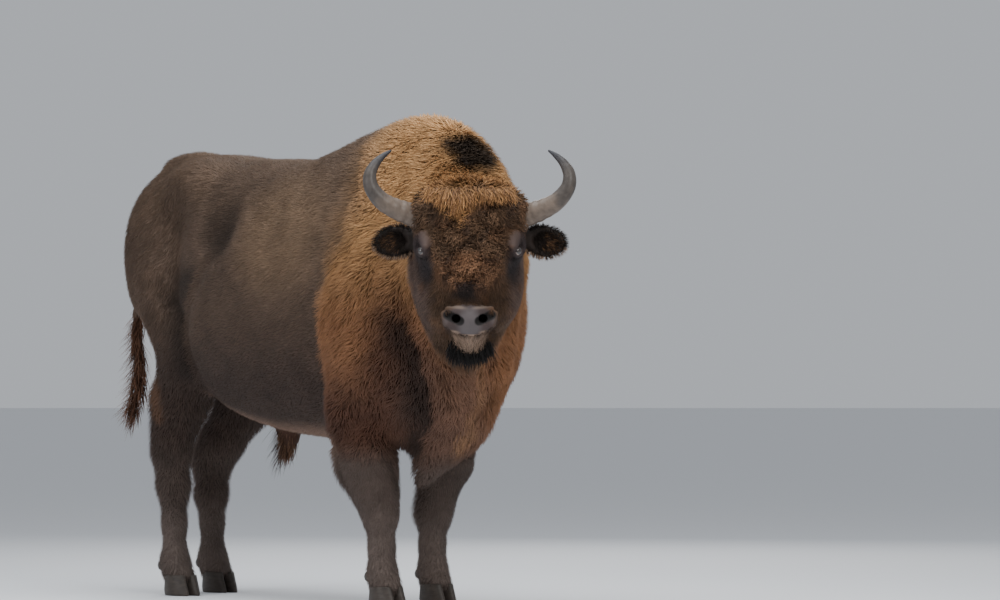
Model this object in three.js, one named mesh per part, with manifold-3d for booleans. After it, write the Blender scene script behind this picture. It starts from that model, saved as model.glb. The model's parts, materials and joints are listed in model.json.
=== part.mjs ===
// European bison bull in winter coat, standing with the head turned to the right.
// Millimetres. +X is the way the body faces, +Y the animal's left, +Z up.
// The body is one smooth field of named masses, cut into its parts with thin plane cuts.
// All surfaces are drawn at the tips of the coat.
import * as THREE from 'three';
import { mergeVertices } from 'three/addons/utils/BufferGeometryUtils.js';
import Module from 'manifold-3d';

const wasm = await Module();
wasm.setup();

// ---------------------------------------------------------------- driving dimensions
const GAP = 0.4;                    // between parts that touch
const SHORTEST_EDGE = 0.25;         // shorter edges, left by cuts, are closed up
const LEAST_HEIGHT = 0.05;          // a triangle flatter than this is turned
const LEFT = 1;
const RIGHT = -1;
const HOOF_TOP = 78;                // height of the coronet, where hair ends and horn begins
const CLAW_SPREAD = 31;             // from the middle of the foot to the middle of each claw
const DEWCLAW_SPREAD = 24;
const HORN_STEPS = 13;
const TAIL_STEPS = 12;
const TUFT_STEPS = 8;
const STRAND_SIDES = 7;             // of the tail, its tuft and the sheath

// Where each foot stands, how thick its forearm is, and how high its hock.
const FEET = {
  fore_right: { side: RIGHT, x: 52, y: 150, forearm: 1.08 },
  fore_left: { side: LEFT, x: -52, y: 152, forearm: 0.88 },
  hind_right: { side: RIGHT, x: -1300, y: 150, hock: 575 },
  hind_left: { side: LEFT, x: -1462, y: 132, hock: 530 },
};

// Head: place of the point between the eyes, and how the head is held.
const HEAD = { x: 752, y: -277, z: 1268, yaw: -37, pitch: 59 };

// Barrel sections from croup to shoulder: place, back line, belly line, half width.
const BARREL = [
  { x: -1330, top: 1640, under: 880, half: 235 },
  { x: -1120, top: 1680, under: 780, half: 262 },
  { x: -1000, top: 1664, under: 706, half: 325 },
  { x: -900, top: 1656, under: 668, half: 352 },
  { x: -700, top: 1652, under: 626, half: 372 },
  { x: -480, top: 1646, under: 604, half: 380 },
  { x: -300, top: 1684, under: 598, half: 378 },
  { x: -110, top: 1728, under: 588, half: 366 },
  { x: 120, top: 1720, under: 580, half: 325 },
  { x: 330, top: 1600, under: 640, half: 262 },
];

// ---------------------------------------------------------------- small mathematics
const { min, max, abs, sqrt, sin, cos, PI } = Math;
const radians = (degrees) => (degrees * PI) / 180;
const mix = (a, b, t) => a + (b - a) * t;
const clamp = (v, lo, hi) => min(max(v, lo), hi);

// Smooth union of two distances: soft is how far the two surfaces melt together.
function melt(a, b, soft) {
  const h = max(soft - abs(a - b), 0) / soft;
  return min(a, b) - h * h * soft * 0.25;
}

// Value of one quantity of a station list at x, along a cubic that has no overshoot at its ends.
function along(stations, key, x) {
  const last = stations.length - 1;
  const u = clamp(x, stations[0].x, stations[last].x);
  let i = 0;
  while (i < last - 1 && u > stations[i + 1].x) i += 1;
  const slope = (a, b) => (stations[b][key] - stations[a][key]) / (stations[b].x - stations[a].x);
  const m0 = i > 0 ? slope(i - 1, i + 1) : slope(i, i + 1);
  const m1 = i < last - 1 ? slope(i, i + 2) : slope(i, i + 1);
  const width = stations[i + 1].x - stations[i].x;
  const t = (u - stations[i].x) / width;
  const a = stations[i][key];
  const b = stations[i + 1][key];
  const t2 = t * t;
  const t3 = t2 * t;
  return (2 * t3 - 3 * t2 + 1) * a + (t3 - 2 * t2 + t) * width * m0
    + (3 * t2 - 2 * t3) * b + (t3 - t2) * width * m1;
}

// ---------------------------------------------------------------- primitive masses
// Ellipsoid turned by yaw about Z and then by pitch (nose down) about its own Y.
function ellipsoid([cx, cy, cz], [rx, ry, rz], yaw = 0, pitch = 0) {
  const [cw, sw, cp, sp] = [cos(radians(yaw)), sin(radians(yaw)), cos(radians(pitch)), sin(radians(pitch))];
  return (x, y, z) => {
    const dx = (x - cx) * cw + (y - cy) * sw;
    const v = (y - cy) * cw - (x - cx) * sw;
    const u = dx * cp - (z - cz) * sp;
    const w = dx * sp + (z - cz) * cp;
    const k0 = sqrt((u / rx) ** 2 + (v / ry) ** 2 + (w / rz) ** 2);
    const k1 = sqrt((u / rx ** 2) ** 2 + (v / ry ** 2) ** 2 + (w / rz ** 2) ** 2);
    return k1 < 1e-9 ? -min(rx, ry, rz) : (k0 * (k0 - 1)) / k1;
  };
}

// Limb segment: a cone with round ends from a to b, each given as [x, y, z, radius].
function bone(a, b) {
  const [dx, dy, dz] = [b[0] - a[0], b[1] - a[1], b[2] - a[2]];
  const length2 = dx * dx + dy * dy + dz * dz;
  return (x, y, z) => {
    const t = clamp(((x - a[0]) * dx + (y - a[1]) * dy + (z - a[2]) * dz) / length2, 0, 1);
    const [ex, ey, ez] = [x - a[0] - t * dx, y - a[1] - t * dy, z - a[2] - t * dz];
    return sqrt(ex * ex + ey * ey + ez * ez) - mix(a[3], b[3], t);
  };
}

// The barrel: a loft of rounded sections, measured along the ray from the section's centre.
function barrel(x, y, z) {
  const top = along(BARREL, 'top', x);
  const under = along(BARREL, 'under', x);
  const half = along(BARREL, 'half', x);
  const middle = mix(under, top, 0.46);
  const high = z > middle ? top - middle : middle - under;
  const squareness = 2.25;
  const reach = ((abs(y) / half) ** squareness + (abs(z - middle) / high) ** squareness) ** (1 / squareness);
  const ray = sqrt(y * y + (z - middle) ** 2);
  const core = -0.75 * half;  // no deeper than this, so that the two ends close evenly
  const radial = reach < 1e-6 ? core : max(ray * (1 - 1 / reach), core);
  const past = max(BARREL[0].x - x, x - BARREL[BARREL.length - 1].x, 0);
  return radial + past;
}

// ---------------------------------------------------------------- the animal's masses
// Each entry is [distance function, how softly it melts into the rest].
function trunkMasses() {
  const masses = [
    [barrel, 1],
    [ellipsoid([140, 0, 1335], [462, 222, 458]), 90],           // hump
    [ellipsoid([-1325, 0, 1364], [278, 232, 306]), 100],        // croup
    [ellipsoid([-1430, 0, 1632], [130, 82, 50]), 100],          // tail head
    [ellipsoid([218, -28, 850], [225, 210, 318]), 110],         // brisket
    [ellipsoid([360, -55, 1215], [285, 236, 385], -16), 120],   // base of the neck
    [ellipsoid([530, -142, 1255], [225, 200, 275], -32), 120],  // throat and nape
    [bone([590, -170, 1010, 120], [330, -35, 700, 130]), 120],  // dewlap
    [bone([330, -35, 700, 122], [158, -42, 478, 54]), 80],      // its hanging fur
  ];
  for (const side of [LEFT, RIGHT]) {
    masses.push([ellipsoid([118, side * 200, 1060], [240, 190, 320]), 110]);   // shoulder
    masses.push([ellipsoid([-1395, side * 118, 1290], [190, 165, 300]), 90]);  // buttock
    masses.push([ellipsoid([-1105, side * 186, 1556], [130, 90, 88]), 140]);   // point of the hip
  }
  return masses;
}

function foreLeg({ side, x, y, forearm }) {
  const joints = [
    [100, side * 215, 900, 165],            // upper arm
    [-5, side * 214, 715, 138],             // elbow, with the fur of the cape
    [8, side * 182, 520, 102 * forearm],    // forearm
    [mix(10, x, 0.7), side * 168, 420, 80 * forearm],
    [x, side * (y + 8), 335, 66],           // knee
    [x - 2, side * y, 215, 49],             // cannon
    [x + 2, side * y, 125, 56],             // fetlock
    [x + 26, side * y, HOOF_TOP - 5, 62],   // coronet
  ];
  return chain(joints, 40);
}

function hindLeg({ side, x, y, hock }) {
  const joints = [
    [-1265, side * 130, 1180, 210],         // haunch
    [-1125, side * 172, 900, 142],          // stifle
    [mix(-1200, x, 0.35), side * 168, 735, 114],  // gaskin
    [mix(-1200, x, 0.82), side * (y + 12), hock + 55, 88],
    [x - 10, side * (y + 6), hock - 25, 74],      // hock
    [x - 6, side * y, hock - 155, 61],
    [x, side * y, 270, 47],                 // cannon
    [x + 4, side * y, 125, 57],             // fetlock
    [x + 36, side * y, HOOF_TOP - 5, 63],   // coronet
  ];
  const masses = chain(joints, 40);
  masses.push([ellipsoid([x - 62, side * (y + 4), hock], [42, 36, 66]), 40]);  // point of the hock
  return masses;
}

function chain(joints, soft) {
  return joints.slice(1).map((joint, i) => [bone(joints[i], joint), i === 0 ? 90 : soft]);
}

// Head masses in the head's own frame: s down the face, y to the left, n out of the forehead.
function headMasses() {
  const masses = [
    [ellipsoid([-90, 0, -40], [165, 178, 140]), 1],              // skull
    [ellipsoid([-165, 0, 48], [118, 210, 104]), 60],             // crown of curly hair
    [ellipsoid([20, 0, 5], [150, 140, 85]), 50],                 // forehead
    [bone([20, 0, -25, 105], [205, 0, -58, 74]), 45],            // bridge of the nose
    [ellipsoid([238, 0, -62], [66, 99, 74]), 30],                // muzzle
    [bone([60, 0, -175, 105], [255, 0, -118, 62]), 40],          // lower jaw
    [ellipsoid([268, 0, -150], [62, 74, 54]), 30],               // beard under the chin
  ];
  for (const side of [LEFT, RIGHT]) {
    masses.push([ellipsoid([45, side * 90, -135], [165, 98, 120]), 60]);     // cheek
    masses.push([ellipsoid([-38, side * 150, -2], [62, 50, 55]), 40]);       // brow
    masses.push([ellipsoid([-142, side * 168, 10], [50, 48, 50]), 40]);      // root of the horn
  }
  return masses;
}

// Body point of a head point, and back again.
const headTurn = new THREE.Matrix4().makeRotationFromEuler(
  new THREE.Euler(0, radians(HEAD.pitch), radians(HEAD.yaw), 'ZYX'),
);
const headPlace = new THREE.Matrix4().makeTranslation(HEAD.x, HEAD.y, HEAD.z).multiply(headTurn);
const headBack = headPlace.clone().invert();

function meltAll(masses) {
  return (x, y, z) => {
    let distance = Infinity;
    for (const [mass, soft] of masses) {
      const d = mass(x, y, z);
      distance = distance === Infinity ? d : melt(distance, d, soft);
    }
    return distance;
  };
}

function headField() {
  const local = meltAll(headMasses());
  const e = headBack.elements;
  return (x, y, z) => local(
    e[0] * x + e[4] * y + e[8] * z + e[12],
    e[1] * x + e[5] * y + e[9] * z + e[13],
    e[2] * x + e[6] * y + e[10] * z + e[14],
  );
}

const trunk = meltAll(trunkMasses());
const legs = Object.entries(FEET).map(
  ([name, foot]) => meltAll(name.startsWith('fore') ? foreLeg(foot) : hindLeg(foot)),
);
const head = headField();

function flesh(x, y, z) {
  let distance = melt(trunk(x, y, z), head(x, y, z), 90);
  for (const leg of legs) distance = melt(distance, leg(x, y, z), 70);
  return distance;
}

// ---------------------------------------------------------------- polygons of the field
// Closed mesh of the zero surface inside a box, one point for each cell that it crosses.
function polygonise(field, low, high, cell) {
  const count = low.map((v, i) => Math.ceil((high[i] - v) / cell) + 2);
  const at = (i, axis) => low[axis] + (i - 0.5) * cell;
  const index = (i, j, k) => (k * count[1] + j) * count[0] + i;
  const value = new Float64Array(count[0] * count[1] * count[2]);
  for (let k = 0; k < count[2]; k += 1) {
    for (let j = 0; j < count[1]; j += 1) {
      for (let i = 0; i < count[0]; i += 1) {
        const rim = i === 0 || j === 0 || k === 0
          || i === count[0] - 1 || j === count[1] - 1 || k === count[2] - 1;
        value[index(i, j, k)] = rim ? cell : field(at(i, 0), at(j, 1), at(k, 2));
      }
    }
  }
  joinDiagonals(value, index, count, cell);
  const points = [];
  const pointOf = new Map();
  for (let k = 0; k < count[2] - 1; k += 1) {
    for (let j = 0; j < count[1] - 1; j += 1) {
      for (let i = 0; i < count[0] - 1; i += 1) {
        const point = cellPoint(value, index, [i, j, k]);
        if (!point) continue;
        pointOf.set(index(i, j, k), points.length / 3);
        const place = point.map((v, axis) => at(v, axis));
        const inner = [i, j, k].every((v, axis) => v > 0 && v < count[axis] - 2);
        points.push(...(inner ? settle(field, place, cell) : place));
      }
    }
  }
  return { points, triangles: netTriangles(value, index, pointOf, count) };
}

// Where only two opposite corners of a grid square are inside, one more is put inside,
// because four sheets would meet in one edge there.
function joinDiagonals(value, index, count, cell) {
  let changed = true;
  while (changed) {
    changed = false;
    for (let k = 1; k < count[2] - 2; k += 1) {
      for (let j = 1; j < count[1] - 2; j += 1) {
        for (let i = 1; i < count[0] - 2; i += 1) {
          for (let axis = 0; axis < 3; axis += 1) {
            const corners = [[0, 0], [1, 0], [1, 1], [0, 1]].map(([u, v]) => {
              const c = [i, j, k];
              c[(axis + 1) % 3] += u;
              c[(axis + 2) % 3] += v;
              return index(...c);
            });
            const inside = corners.map((c) => value[c] < 0);
            if (inside[0] !== inside[2] || inside[1] !== inside[3] || inside[0] === inside[1]) continue;
            value[corners[inside[0] ? 1 : 0]] = -cell * 0.02;
            changed = true;
          }
        }
      }
    }
  }
}

// Mean of the places where the surface crosses the edges of one cell, in grid steps.
function cellPoint(value, index, [i, j, k]) {
  const sum = [0, 0, 0];
  let crossings = 0;
  for (let axis = 0; axis < 3; axis += 1) {
    for (let corner = 0; corner < 4; corner += 1) {
      const from = [i, j, k];
      from[(axis + 1) % 3] += corner & 1;
      from[(axis + 2) % 3] += corner >> 1;
      const to = [...from];
      to[axis] += 1;
      const a = value[index(...from)];
      const b = value[index(...to)];
      if (a < 0 === b < 0) continue;
      crossings += 1;
      for (let c = 0; c < 3; c += 1) sum[c] += from[c] + (c === axis ? a / (a - b) : 0);
    }
  }
  return crossings ? sum.map((v) => v / crossings) : null;
}

// Moves a point on to the zero surface, by at most half a cell.
function settle(field, start, cell) {
  const p = [...start];
  const step = cell * 0.02;
  for (let pass = 0; pass < 4; pass += 1) {
    const d = field(...p);
    const slope = p.map((v, axis) => {
      const q = [...p];
      q[axis] += step;
      return (field(...q) - d) / step;
    });
    const steep = max(slope[0] ** 2 + slope[1] ** 2 + slope[2] ** 2, 0.05);
    for (let axis = 0; axis < 3; axis += 1) p[axis] -= (d * slope[axis]) / steep;
  }
  return p.map((v, axis) => clamp(v, start[axis] - cell / 2, start[axis] + cell / 2));
}

// Two triangles for every grid edge that the surface crosses.
function netTriangles(value, index, pointOf, count) {
  const triangles = [];
  for (let k = 0; k < count[2] - 1; k += 1) {
    for (let j = 0; j < count[1] - 1; j += 1) {
      for (let i = 0; i < count[0] - 1; i += 1) {
        for (let axis = 0; axis < 3; axis += 1) {
          const to = [i, j, k];
          if (to.some((v, c) => v === 0 && c !== axis)) continue;
          to[axis] += 1;
          const a = value[index(i, j, k)];
          const b = value[index(...to)];
          if (a < 0 === b < 0) continue;
          const ring = [[0, 0], [1, 0], [1, 1], [0, 1]].map(([u, v]) => {
            const c = [i, j, k];
            c[(axis + 1) % 3] -= u;
            c[(axis + 2) % 3] -= v;
            return pointOf.get(index(...c));
          });
          if (a >= 0) ring.reverse();
          triangles.push(ring[0], ring[1], ring[2], ring[0], ring[2], ring[3]);
        }
      }
    }
  }
  return triangles;
}

// ---------------------------------------------------------------- solids
function solidOf({ points, triangles }) {
  return new wasm.Manifold(new wasm.Mesh({
    numProp: 3,
    vertProperties: new Float32Array(points),
    triVerts: new Uint32Array(triangles),
  }));
}

function solidOfGeometry(geometry) {
  const bare = geometry.clone();
  bare.deleteAttribute('normal');
  bare.deleteAttribute('uv');
  const merged = mergeVertices(bare, 1e-3);
  return solidOf({ points: merged.attributes.position.array, triangles: merged.index.array });
}

function geometryOf(solid) {
  const mesh = solid.getMesh();
  const points = [];
  for (let i = 0; i < mesh.numVert; i += 1) {
    points.push(Array.from(mesh.vertProperties.slice(i * mesh.numProp, i * mesh.numProp + 3)));
  }
  const triangles = [];
  for (let i = 0; i < mesh.triVerts.length; i += 3) triangles.push(Array.from(mesh.triVerts.slice(i, i + 3)));
  const kept = flipSlivers(points, closeShortEdges(points, triangles));
  const geometry = new THREE.BufferGeometry();
  geometry.setAttribute('position', new THREE.BufferAttribute(new Float32Array(points.flat()), 3));
  geometry.setIndex(kept.flat());
  const merged = mergeVertices(geometry, 1e-4);
  merged.computeVertexNormals();
  return merged;
}

// Joins the two ends of each very short edge that a cut has left, where the mesh stays closed.
function closeShortEdges(points, triangles) {
  const distance = (a, b) => Math.hypot(...points[a].map((v, c) => v - points[b][c]));
  let kept = triangles;
  for (let pass = 0; pass < 400; pass += 1) {
    const around = new Map();
    for (const triangle of kept) {
      for (const v of triangle) {
        if (!around.has(v)) around.set(v, new Set());
        for (const w of triangle) if (w !== v) around.get(v).add(w);
      }
    }
    const edge = shortEdge(kept, around, distance);
    if (!edge) break;
    const [stays, goes] = edge;
    kept = kept
      .map((triangle) => triangle.map((v) => (v === goes ? stays : v)))
      .filter(([a, b, c]) => a !== b && b !== c && c !== a);
  }
  return kept;
}

// Turns the long edge of each triangle that has almost no height, so that no sliver is left.
function flipSlivers(points, triangles) {
  const vector = (a, b) => new THREE.Vector3(...points[b]).sub(new THREE.Vector3(...points[a]));
  const height = ([a, b, c]) => vector(a, b).cross(vector(a, c)).length() / vector(a, b).length();
  const turned = ([a, b, c], e) => [[a, b, c], [b, c, a], [c, a, b]][e];
  const key = (a, b) => `${a} ${b}`;
  const kept = triangles.map((triangle) => [...triangle]);
  const owner = new Map();
  const own = (i) => [0, 1, 2].forEach((e) => owner.set(key(kept[i][e], kept[i][(e + 1) % 3]), i));
  kept.forEach((_, i) => own(i));
  for (let pass = 0; pass < 6; pass += 1) {
    for (let i = 0; i < kept.length; i += 1) {
      const flattest = [0, 1, 2].map((e) => turned(kept[i], e)).sort((p, q) => height(p) - height(q))[0];
      if (height(flattest) > LEAST_HEIGHT) continue;
      const [a, b, c] = flattest;
      const other = owner.get(key(b, a));
      const d = kept[other].find((v) => v !== a && v !== b);
      if (owner.has(key(c, d)) || owner.has(key(d, c))) continue;
      owner.delete(key(a, b));
      owner.delete(key(b, a));
      kept[i] = [a, d, c];
      kept[other] = [d, b, c];
      own(i);
      own(other);
    }
  }
  return kept;
}

function shortEdge(triangles, around, distance) {
  for (const triangle of triangles) {
    for (let e = 0; e < 3; e += 1) {
      const [a, b] = [triangle[e], triangle[(e + 1) % 3]];
      if (distance(a, b) > SHORTEST_EDGE) continue;
      const shared = [...around.get(a)].filter((v) => around.get(b).has(v));
      if (shared.length === 2) return [a, b];
    }
  }
  return null;
}

// All space on the side of a plane that its normal points away from, as a very large box.
function behind(point, normal, back = GAP / 2) {
  const size = 8000;
  const box = new THREE.BoxGeometry(size, size, size);
  box.translate(0, 0, -size / 2 - back);
  const turn = new THREE.Quaternion().setFromUnitVectors(
    new THREE.Vector3(0, 0, 1), new THREE.Vector3(...normal).normalize(),
  );
  box.applyQuaternion(turn);
  box.translate(...point);
  return solidOfGeometry(box);
}

const opposite = (normal) => normal.map((v) => -v);
const headPoint = (s, y, n) => new THREE.Vector3(s, y, n).applyMatrix4(headPlace).toArray();
const headVector = (s, y, n) => new THREE.Vector3(s, y, n).transformDirection(headPlace).toArray();

// ---------------------------------------------------------------- where the body is parted
const heading = [cos(radians(HEAD.yaw)), sin(radians(HEAD.yaw)), 0];
const NECK_FRONT = [[HEAD.x - 165 * heading[0], HEAD.y - 165 * heading[1], HEAD.z], [...heading.slice(0, 2), 0.12]];
const NECK_BACK = [[405, -30, 1200], [cos(radians(-15)), sin(radians(-15)), 0]];
const CAPE_EDGE = [[-120, 0, 1100], [1, 0, 0]];
const FLANK = [[-1025, 0, 1100], [1, 0, 0.06]];
const HAUNCH_TOP = [[-1300, 0, 985], [0, 0, 1]];
const BELLY_CUT = [[0, 0, 545], [0, 0, 1]];
const MOUTH = [headPoint(308, 0, -58), headVector(-0.62, 0, 0.78)];
const MIDDLE = [[0, 0, 0], [0, 1, 0]];
const CHEST_RIGHT = [[0, -70, 0], [0, 1, 0]];
const CHEST_LEFT = [[0, 70, 0], [0, 1, 0]];
const JAW_BACK = [headPoint(70, 0, 0), headVector(1, 0, 0.25)];

const below = ([point, normal], back) => behind(point, normal, back);
const above = ([point, normal], back) => behind(point, opposite(normal), back);
const level = (z) => [[0, 0, z], [0, 0, 1]];
const THIGH_FOOT = level(690);
const TUFT_TOP = level(970);
const CORONET = level(HOOF_TOP);

// The box that each part is drawn in, and its cell size.
const BOXES = {
  head: [[480, -580, 820], [1060, 260, 1640], 47],
  neck: [[300, -500, 400], [800, 400, 1900], 94],
  forequarters: [[-220, -500, 400], [700, 500, 1900], 102],
  barrel: [[-1150, -500, 500], [-50, 500, 1900], 118],
  croup: [[-1700, -400, 850], [-940, 400, 1800], 92],
  chest_tuft: [[0, -120, 380], [420, 120, 620], 48],
  foreleg: [[-260, -420, 30], [300, 420, 640], 47],
  thigh: [[-1700, -420, 560], [-940, 420, 1060], 74],
  hind_leg: [[-1640, -420, 30], [-1000, 420, 760], 49],
};

// Flesh inside one box, kept inside every given half space.
function fleshPart([low, high, cell], ...halves) {
  const whole = solidOf(polygonise(flesh, low, high, cell));
  return halves.reduce((solid, half) => solid.intersect(half), whole);
}

// ---------------------------------------------------------------- materials
const COLOURS = {
  flank: ['#4b3b30', 0.95],
  mane: ['#7a5230', 0.95],
  face: ['#4a3424', 0.95],
  dark: ['#2c2420', 0.95],
  leg: ['#43372e', 0.95],
  horn: ['#55534f', 0.5],
  hoof: ['#26221f', 0.55],
  eye: ['#16120f', 0.12],
};
const materials = {};
for (const [name, [color, roughness]] of Object.entries(COLOURS)) {
  materials[name] = new THREE.MeshStandardMaterial({ color, roughness, metalness: 0 });
}

const bison = new THREE.Group();
function add(name, solid, material) {
  const whole = solid.decompose().sort((a, b) => b.volume() - a.volume())[0];
  const mesh = new THREE.Mesh(geometryOf(whole), materials[material]);
  mesh.name = name;
  bison.add(mesh);
}

// ---------------------------------------------------------------- horns, ears, eyes, hooves, tail
// Solid swept along a smooth curve through the points, each with its own radius.
function sweep(stations, steps, sides, grow = 0) {
  const path = new THREE.CatmullRomCurve3(stations.map((v) => new THREE.Vector3(v[0], v[1], v[2])));
  const frames = path.computeFrenetFrames(steps, false);
  const points = [];
  const triangles = [];
  for (let i = 0; i <= steps; i += 1) {
    const place = path.getPoint(i / steps);
    if (i === 0) place.addScaledVector(frames.tangents[0], -grow);
    if (i === steps) place.addScaledVector(frames.tangents[steps], grow);
    const along = (i / steps) * (stations.length - 1);
    const from = min(Math.floor(along), stations.length - 2);
    const radius = mix(stations[from][3], stations[from + 1][3], along - from) + grow;
    for (let j = 0; j < sides; j += 1) {
      const angle = (2 * PI * j) / sides;
      const rim = place.clone()
        .addScaledVector(frames.normals[i], radius * cos(angle))
        .addScaledVector(frames.binormals[i], radius * sin(angle));
      points.push(...rim.toArray());
    }
  }
  capRings(points, triangles, steps + 1, sides);
  return solidOf({ points, triangles });
}

// Triangles between rings of points, with a fan over the first ring and over the last one.
function capRings(points, triangles, rings, sides) {
  for (let i = 0; i < rings - 1; i += 1) {
    for (let j = 0; j < sides; j += 1) {
      const next = (j + 1) % sides;
      const [a, b] = [i * sides + j, i * sides + next];
      triangles.push(a, b, b + sides, a, b + sides, a + sides);
    }
  }
  const last = (rings - 1) * sides;
  for (let j = 1; j < sides - 1; j += 1) {
    triangles.push(0, j + 1, j, last, last + j, last + j + 1);
  }
}

// Round mass as a solid, with its own axes: out, up and front.
function ball(centre, [rx, ry, rz], segments, turn = new THREE.Matrix4(), grow = 0) {
  const geometry = new THREE.SphereGeometry(1, segments, Math.ceil(segments * 0.6));
  geometry.scale(rx + grow, ry + grow, rz + grow);
  geometry.applyMatrix4(turn);
  geometry.translate(...centre);
  return solidOfGeometry(geometry);
}

// Place in the view from straight in front of the face: left, up, and forward of the eyes.
const facing = (left, up, forward) => [
  HEAD.x + forward * heading[0] - left * heading[1],
  HEAD.y + forward * heading[1] + left * heading[0],
  up,
];

// Horn: out, forward, up and in again, as centre line stations [out, height, forward, radius].
const HORN = [
  [150, 1385, -75, 46],
  [203, 1405, -62, 42],
  [255, 1423, -40, 37],
  [306, 1451, -18, 32],
  [343, 1497, -8, 27],
  [349, 1542, -12, 23],
  [332, 1580, -22, 17.5],
  [305, 1609, -33, 11],
  [277, 1629, -40, 4],
];
const horn = (side, grow) => sweep(
  HORN.map(([out, up, forward, r]) => [...facing(side * out, up, forward), r]), HORN_STEPS, 8, grow,
);

// Ear: a thick rounded leaf that points out sideways, dished at the front.
const EAR = { out: 262, up: 1312, forward: -128, length: 84, height: 64, thick: 28, droop: 8 };
const EAR_DISH = { out: 16, up: 2, forward: 27, thick: 18, share: 0.56 };
function earTurn(side) {
  const droop = new THREE.Matrix4().makeRotationX(radians(-side * EAR.droop));
  return new THREE.Matrix4().makeRotationZ(radians(HEAD.yaw)).multiply(droop);
}
function ear(side, grow) {
  const turn = earTurn(side);
  const { length, height, thick } = EAR;
  const leaf = ball(facing(side * EAR.out, EAR.up, EAR.forward), [thick, length, height], 10, turn, grow);
  if (grow) return leaf;
  const place = facing(side * (EAR.out + EAR_DISH.out), EAR.up + EAR_DISH.up, EAR.forward + EAR_DISH.forward);
  const dish = ball(place, [EAR_DISH.thick, length * EAR_DISH.share, height * EAR_DISH.share], 8, turn);
  return leaf.subtract(dish);
}

// Eye: a whole globe set in the side of the head.
const EYE = { s: 4, out: 161, n: 20, radius: 22 };
const eye = (side, grow) => ball(
  headPoint(EYE.s, side * EYE.out, EYE.n), [EYE.radius, EYE.radius, EYE.radius], 10, headTurn, grow,
);

// Nostril: a pit that opens forward and outward.
const NOSTRIL = { s: 252, out: 58, n: -6, long: 20, wide: 15, deep: 24 };
const nostril = (side) => ball(
  headPoint(NOSTRIL.s, side * NOSTRIL.out, NOSTRIL.n), [NOSTRIL.long, NOSTRIL.wide, NOSTRIL.deep], 8, headTurn,
);

// One claw of a cloven hoof: front and rear edge and width at each height, flat below and above.
const HOOF_AHEAD = { fore: 30, hind: 48 };  // how far the hoof stands in front of its shank
const CLAW = [
  { z: 0, front: 84, rear: -56, half: 29 },
  { z: 24, front: 74, rear: -58, half: 31 },
  { z: HOOF_TOP - GAP, front: 50, rear: -50, half: 29 },
];
function claw(foot, ahead, across, sides = 10) {
  const points = [];
  const triangles = [];
  const inward = Math.sign(across);
  for (const { z, front, rear, half } of CLAW) {
    for (let j = 0; j < sides; j += 1) {
      const angle = (2 * PI * j) / sides;
      const long = (front + rear) / 2 + ((front - rear) / 2) * cos(angle);
      const toe = max(cos(angle), 0) ** 2;
      const wide = across + half * sin(angle) * (1 - 0.3 * toe) - inward * 8 * toe;
      points.push(foot.x + ahead + long, foot.side * foot.y + wide, z);
    }
  }
  capRings(points, triangles, CLAW.length, sides);
  return solidOf({ points, triangles });
}

const dewclaw = (foot, across, grow) => ball(
  [foot.x - 52, foot.side * foot.y + across, 112], [17, 15, 21], 6, undefined, grow,
);

// Tail: hangs from the tail head, swung a little to the right.
const TAIL = [
  [-1500, 0, 1590, 40],
  [-1585, -8, 1518, 37],
  [-1610, -40, 1390, 32],
  [-1612, -85, 1240, 28],
  [-1600, -118, 1090, 27],
  [-1592, -135, 965, 29],
];
const TAIL_TUFT = [
  [-1592, -134, 980, 28],
  [-1578, -134, 880, 42],
  [-1578, -140, 790, 47],
  [-1598, -158, 690, 38],
  [-1632, -188, 600, 12],
];
const SHEATH = [
  [-745, 0, 670, 62],
  [-752, 0, 590, 58],
  [-775, -4, 530, 44],
  [-800, -10, 455, 12],
];

// ---------------------------------------------------------------- body parts
const sides = { right: RIGHT, left: LEFT };
const both = (make) => [make(RIGHT), make(LEFT)];
const cut = (solid, ...tools) => tools.reduce((rest, tool) => rest.subtract(tool), solid);
const tail = (grow) => sweep(TAIL, TAIL_STEPS, STRAND_SIDES, grow);
const tailTuft = (grow) => sweep(TAIL_TUFT, TUFT_STEPS, STRAND_SIDES, grow);
const sheath = (grow) => sweep(SHEATH, STRAND_SIDES, STRAND_SIDES, grow);

const headParts = cut(
  fleshPart(BOXES.head, above(NECK_FRONT)),
  ...both((side) => horn(side, GAP)),
  ...both((side) => ear(side, GAP)),
  ...both((side) => eye(side, GAP)),
  ...both(nostril),
);
add('head', headParts.subtract(below(MOUTH, -GAP / 2).intersect(above(JAW_BACK, -GAP / 2))), 'face');
add('lower_jaw', headParts.intersect(below(MOUTH)).intersect(above(JAW_BACK)), 'face');
add('neck', cut(
  fleshPart(BOXES.neck, below(NECK_FRONT), above(NECK_BACK)),
  ...both((side) => ear(side, GAP)),
), 'mane');
add('forequarters', fleshPart(BOXES.forequarters, below(NECK_BACK), above(CAPE_EDGE), above(BELLY_CUT)), 'mane');
add('barrel', cut(fleshPart(BOXES.barrel, below(CAPE_EDGE), above(FLANK)), sheath(GAP)), 'flank');
add('croup', cut(fleshPart(BOXES.croup, below(FLANK), above(HAUNCH_TOP)), tail(GAP)), 'flank');
add('chest_tuft', fleshPart(BOXES.chest_tuft, below(BELLY_CUT), above(CHEST_RIGHT), below(CHEST_LEFT)), 'mane');

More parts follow.
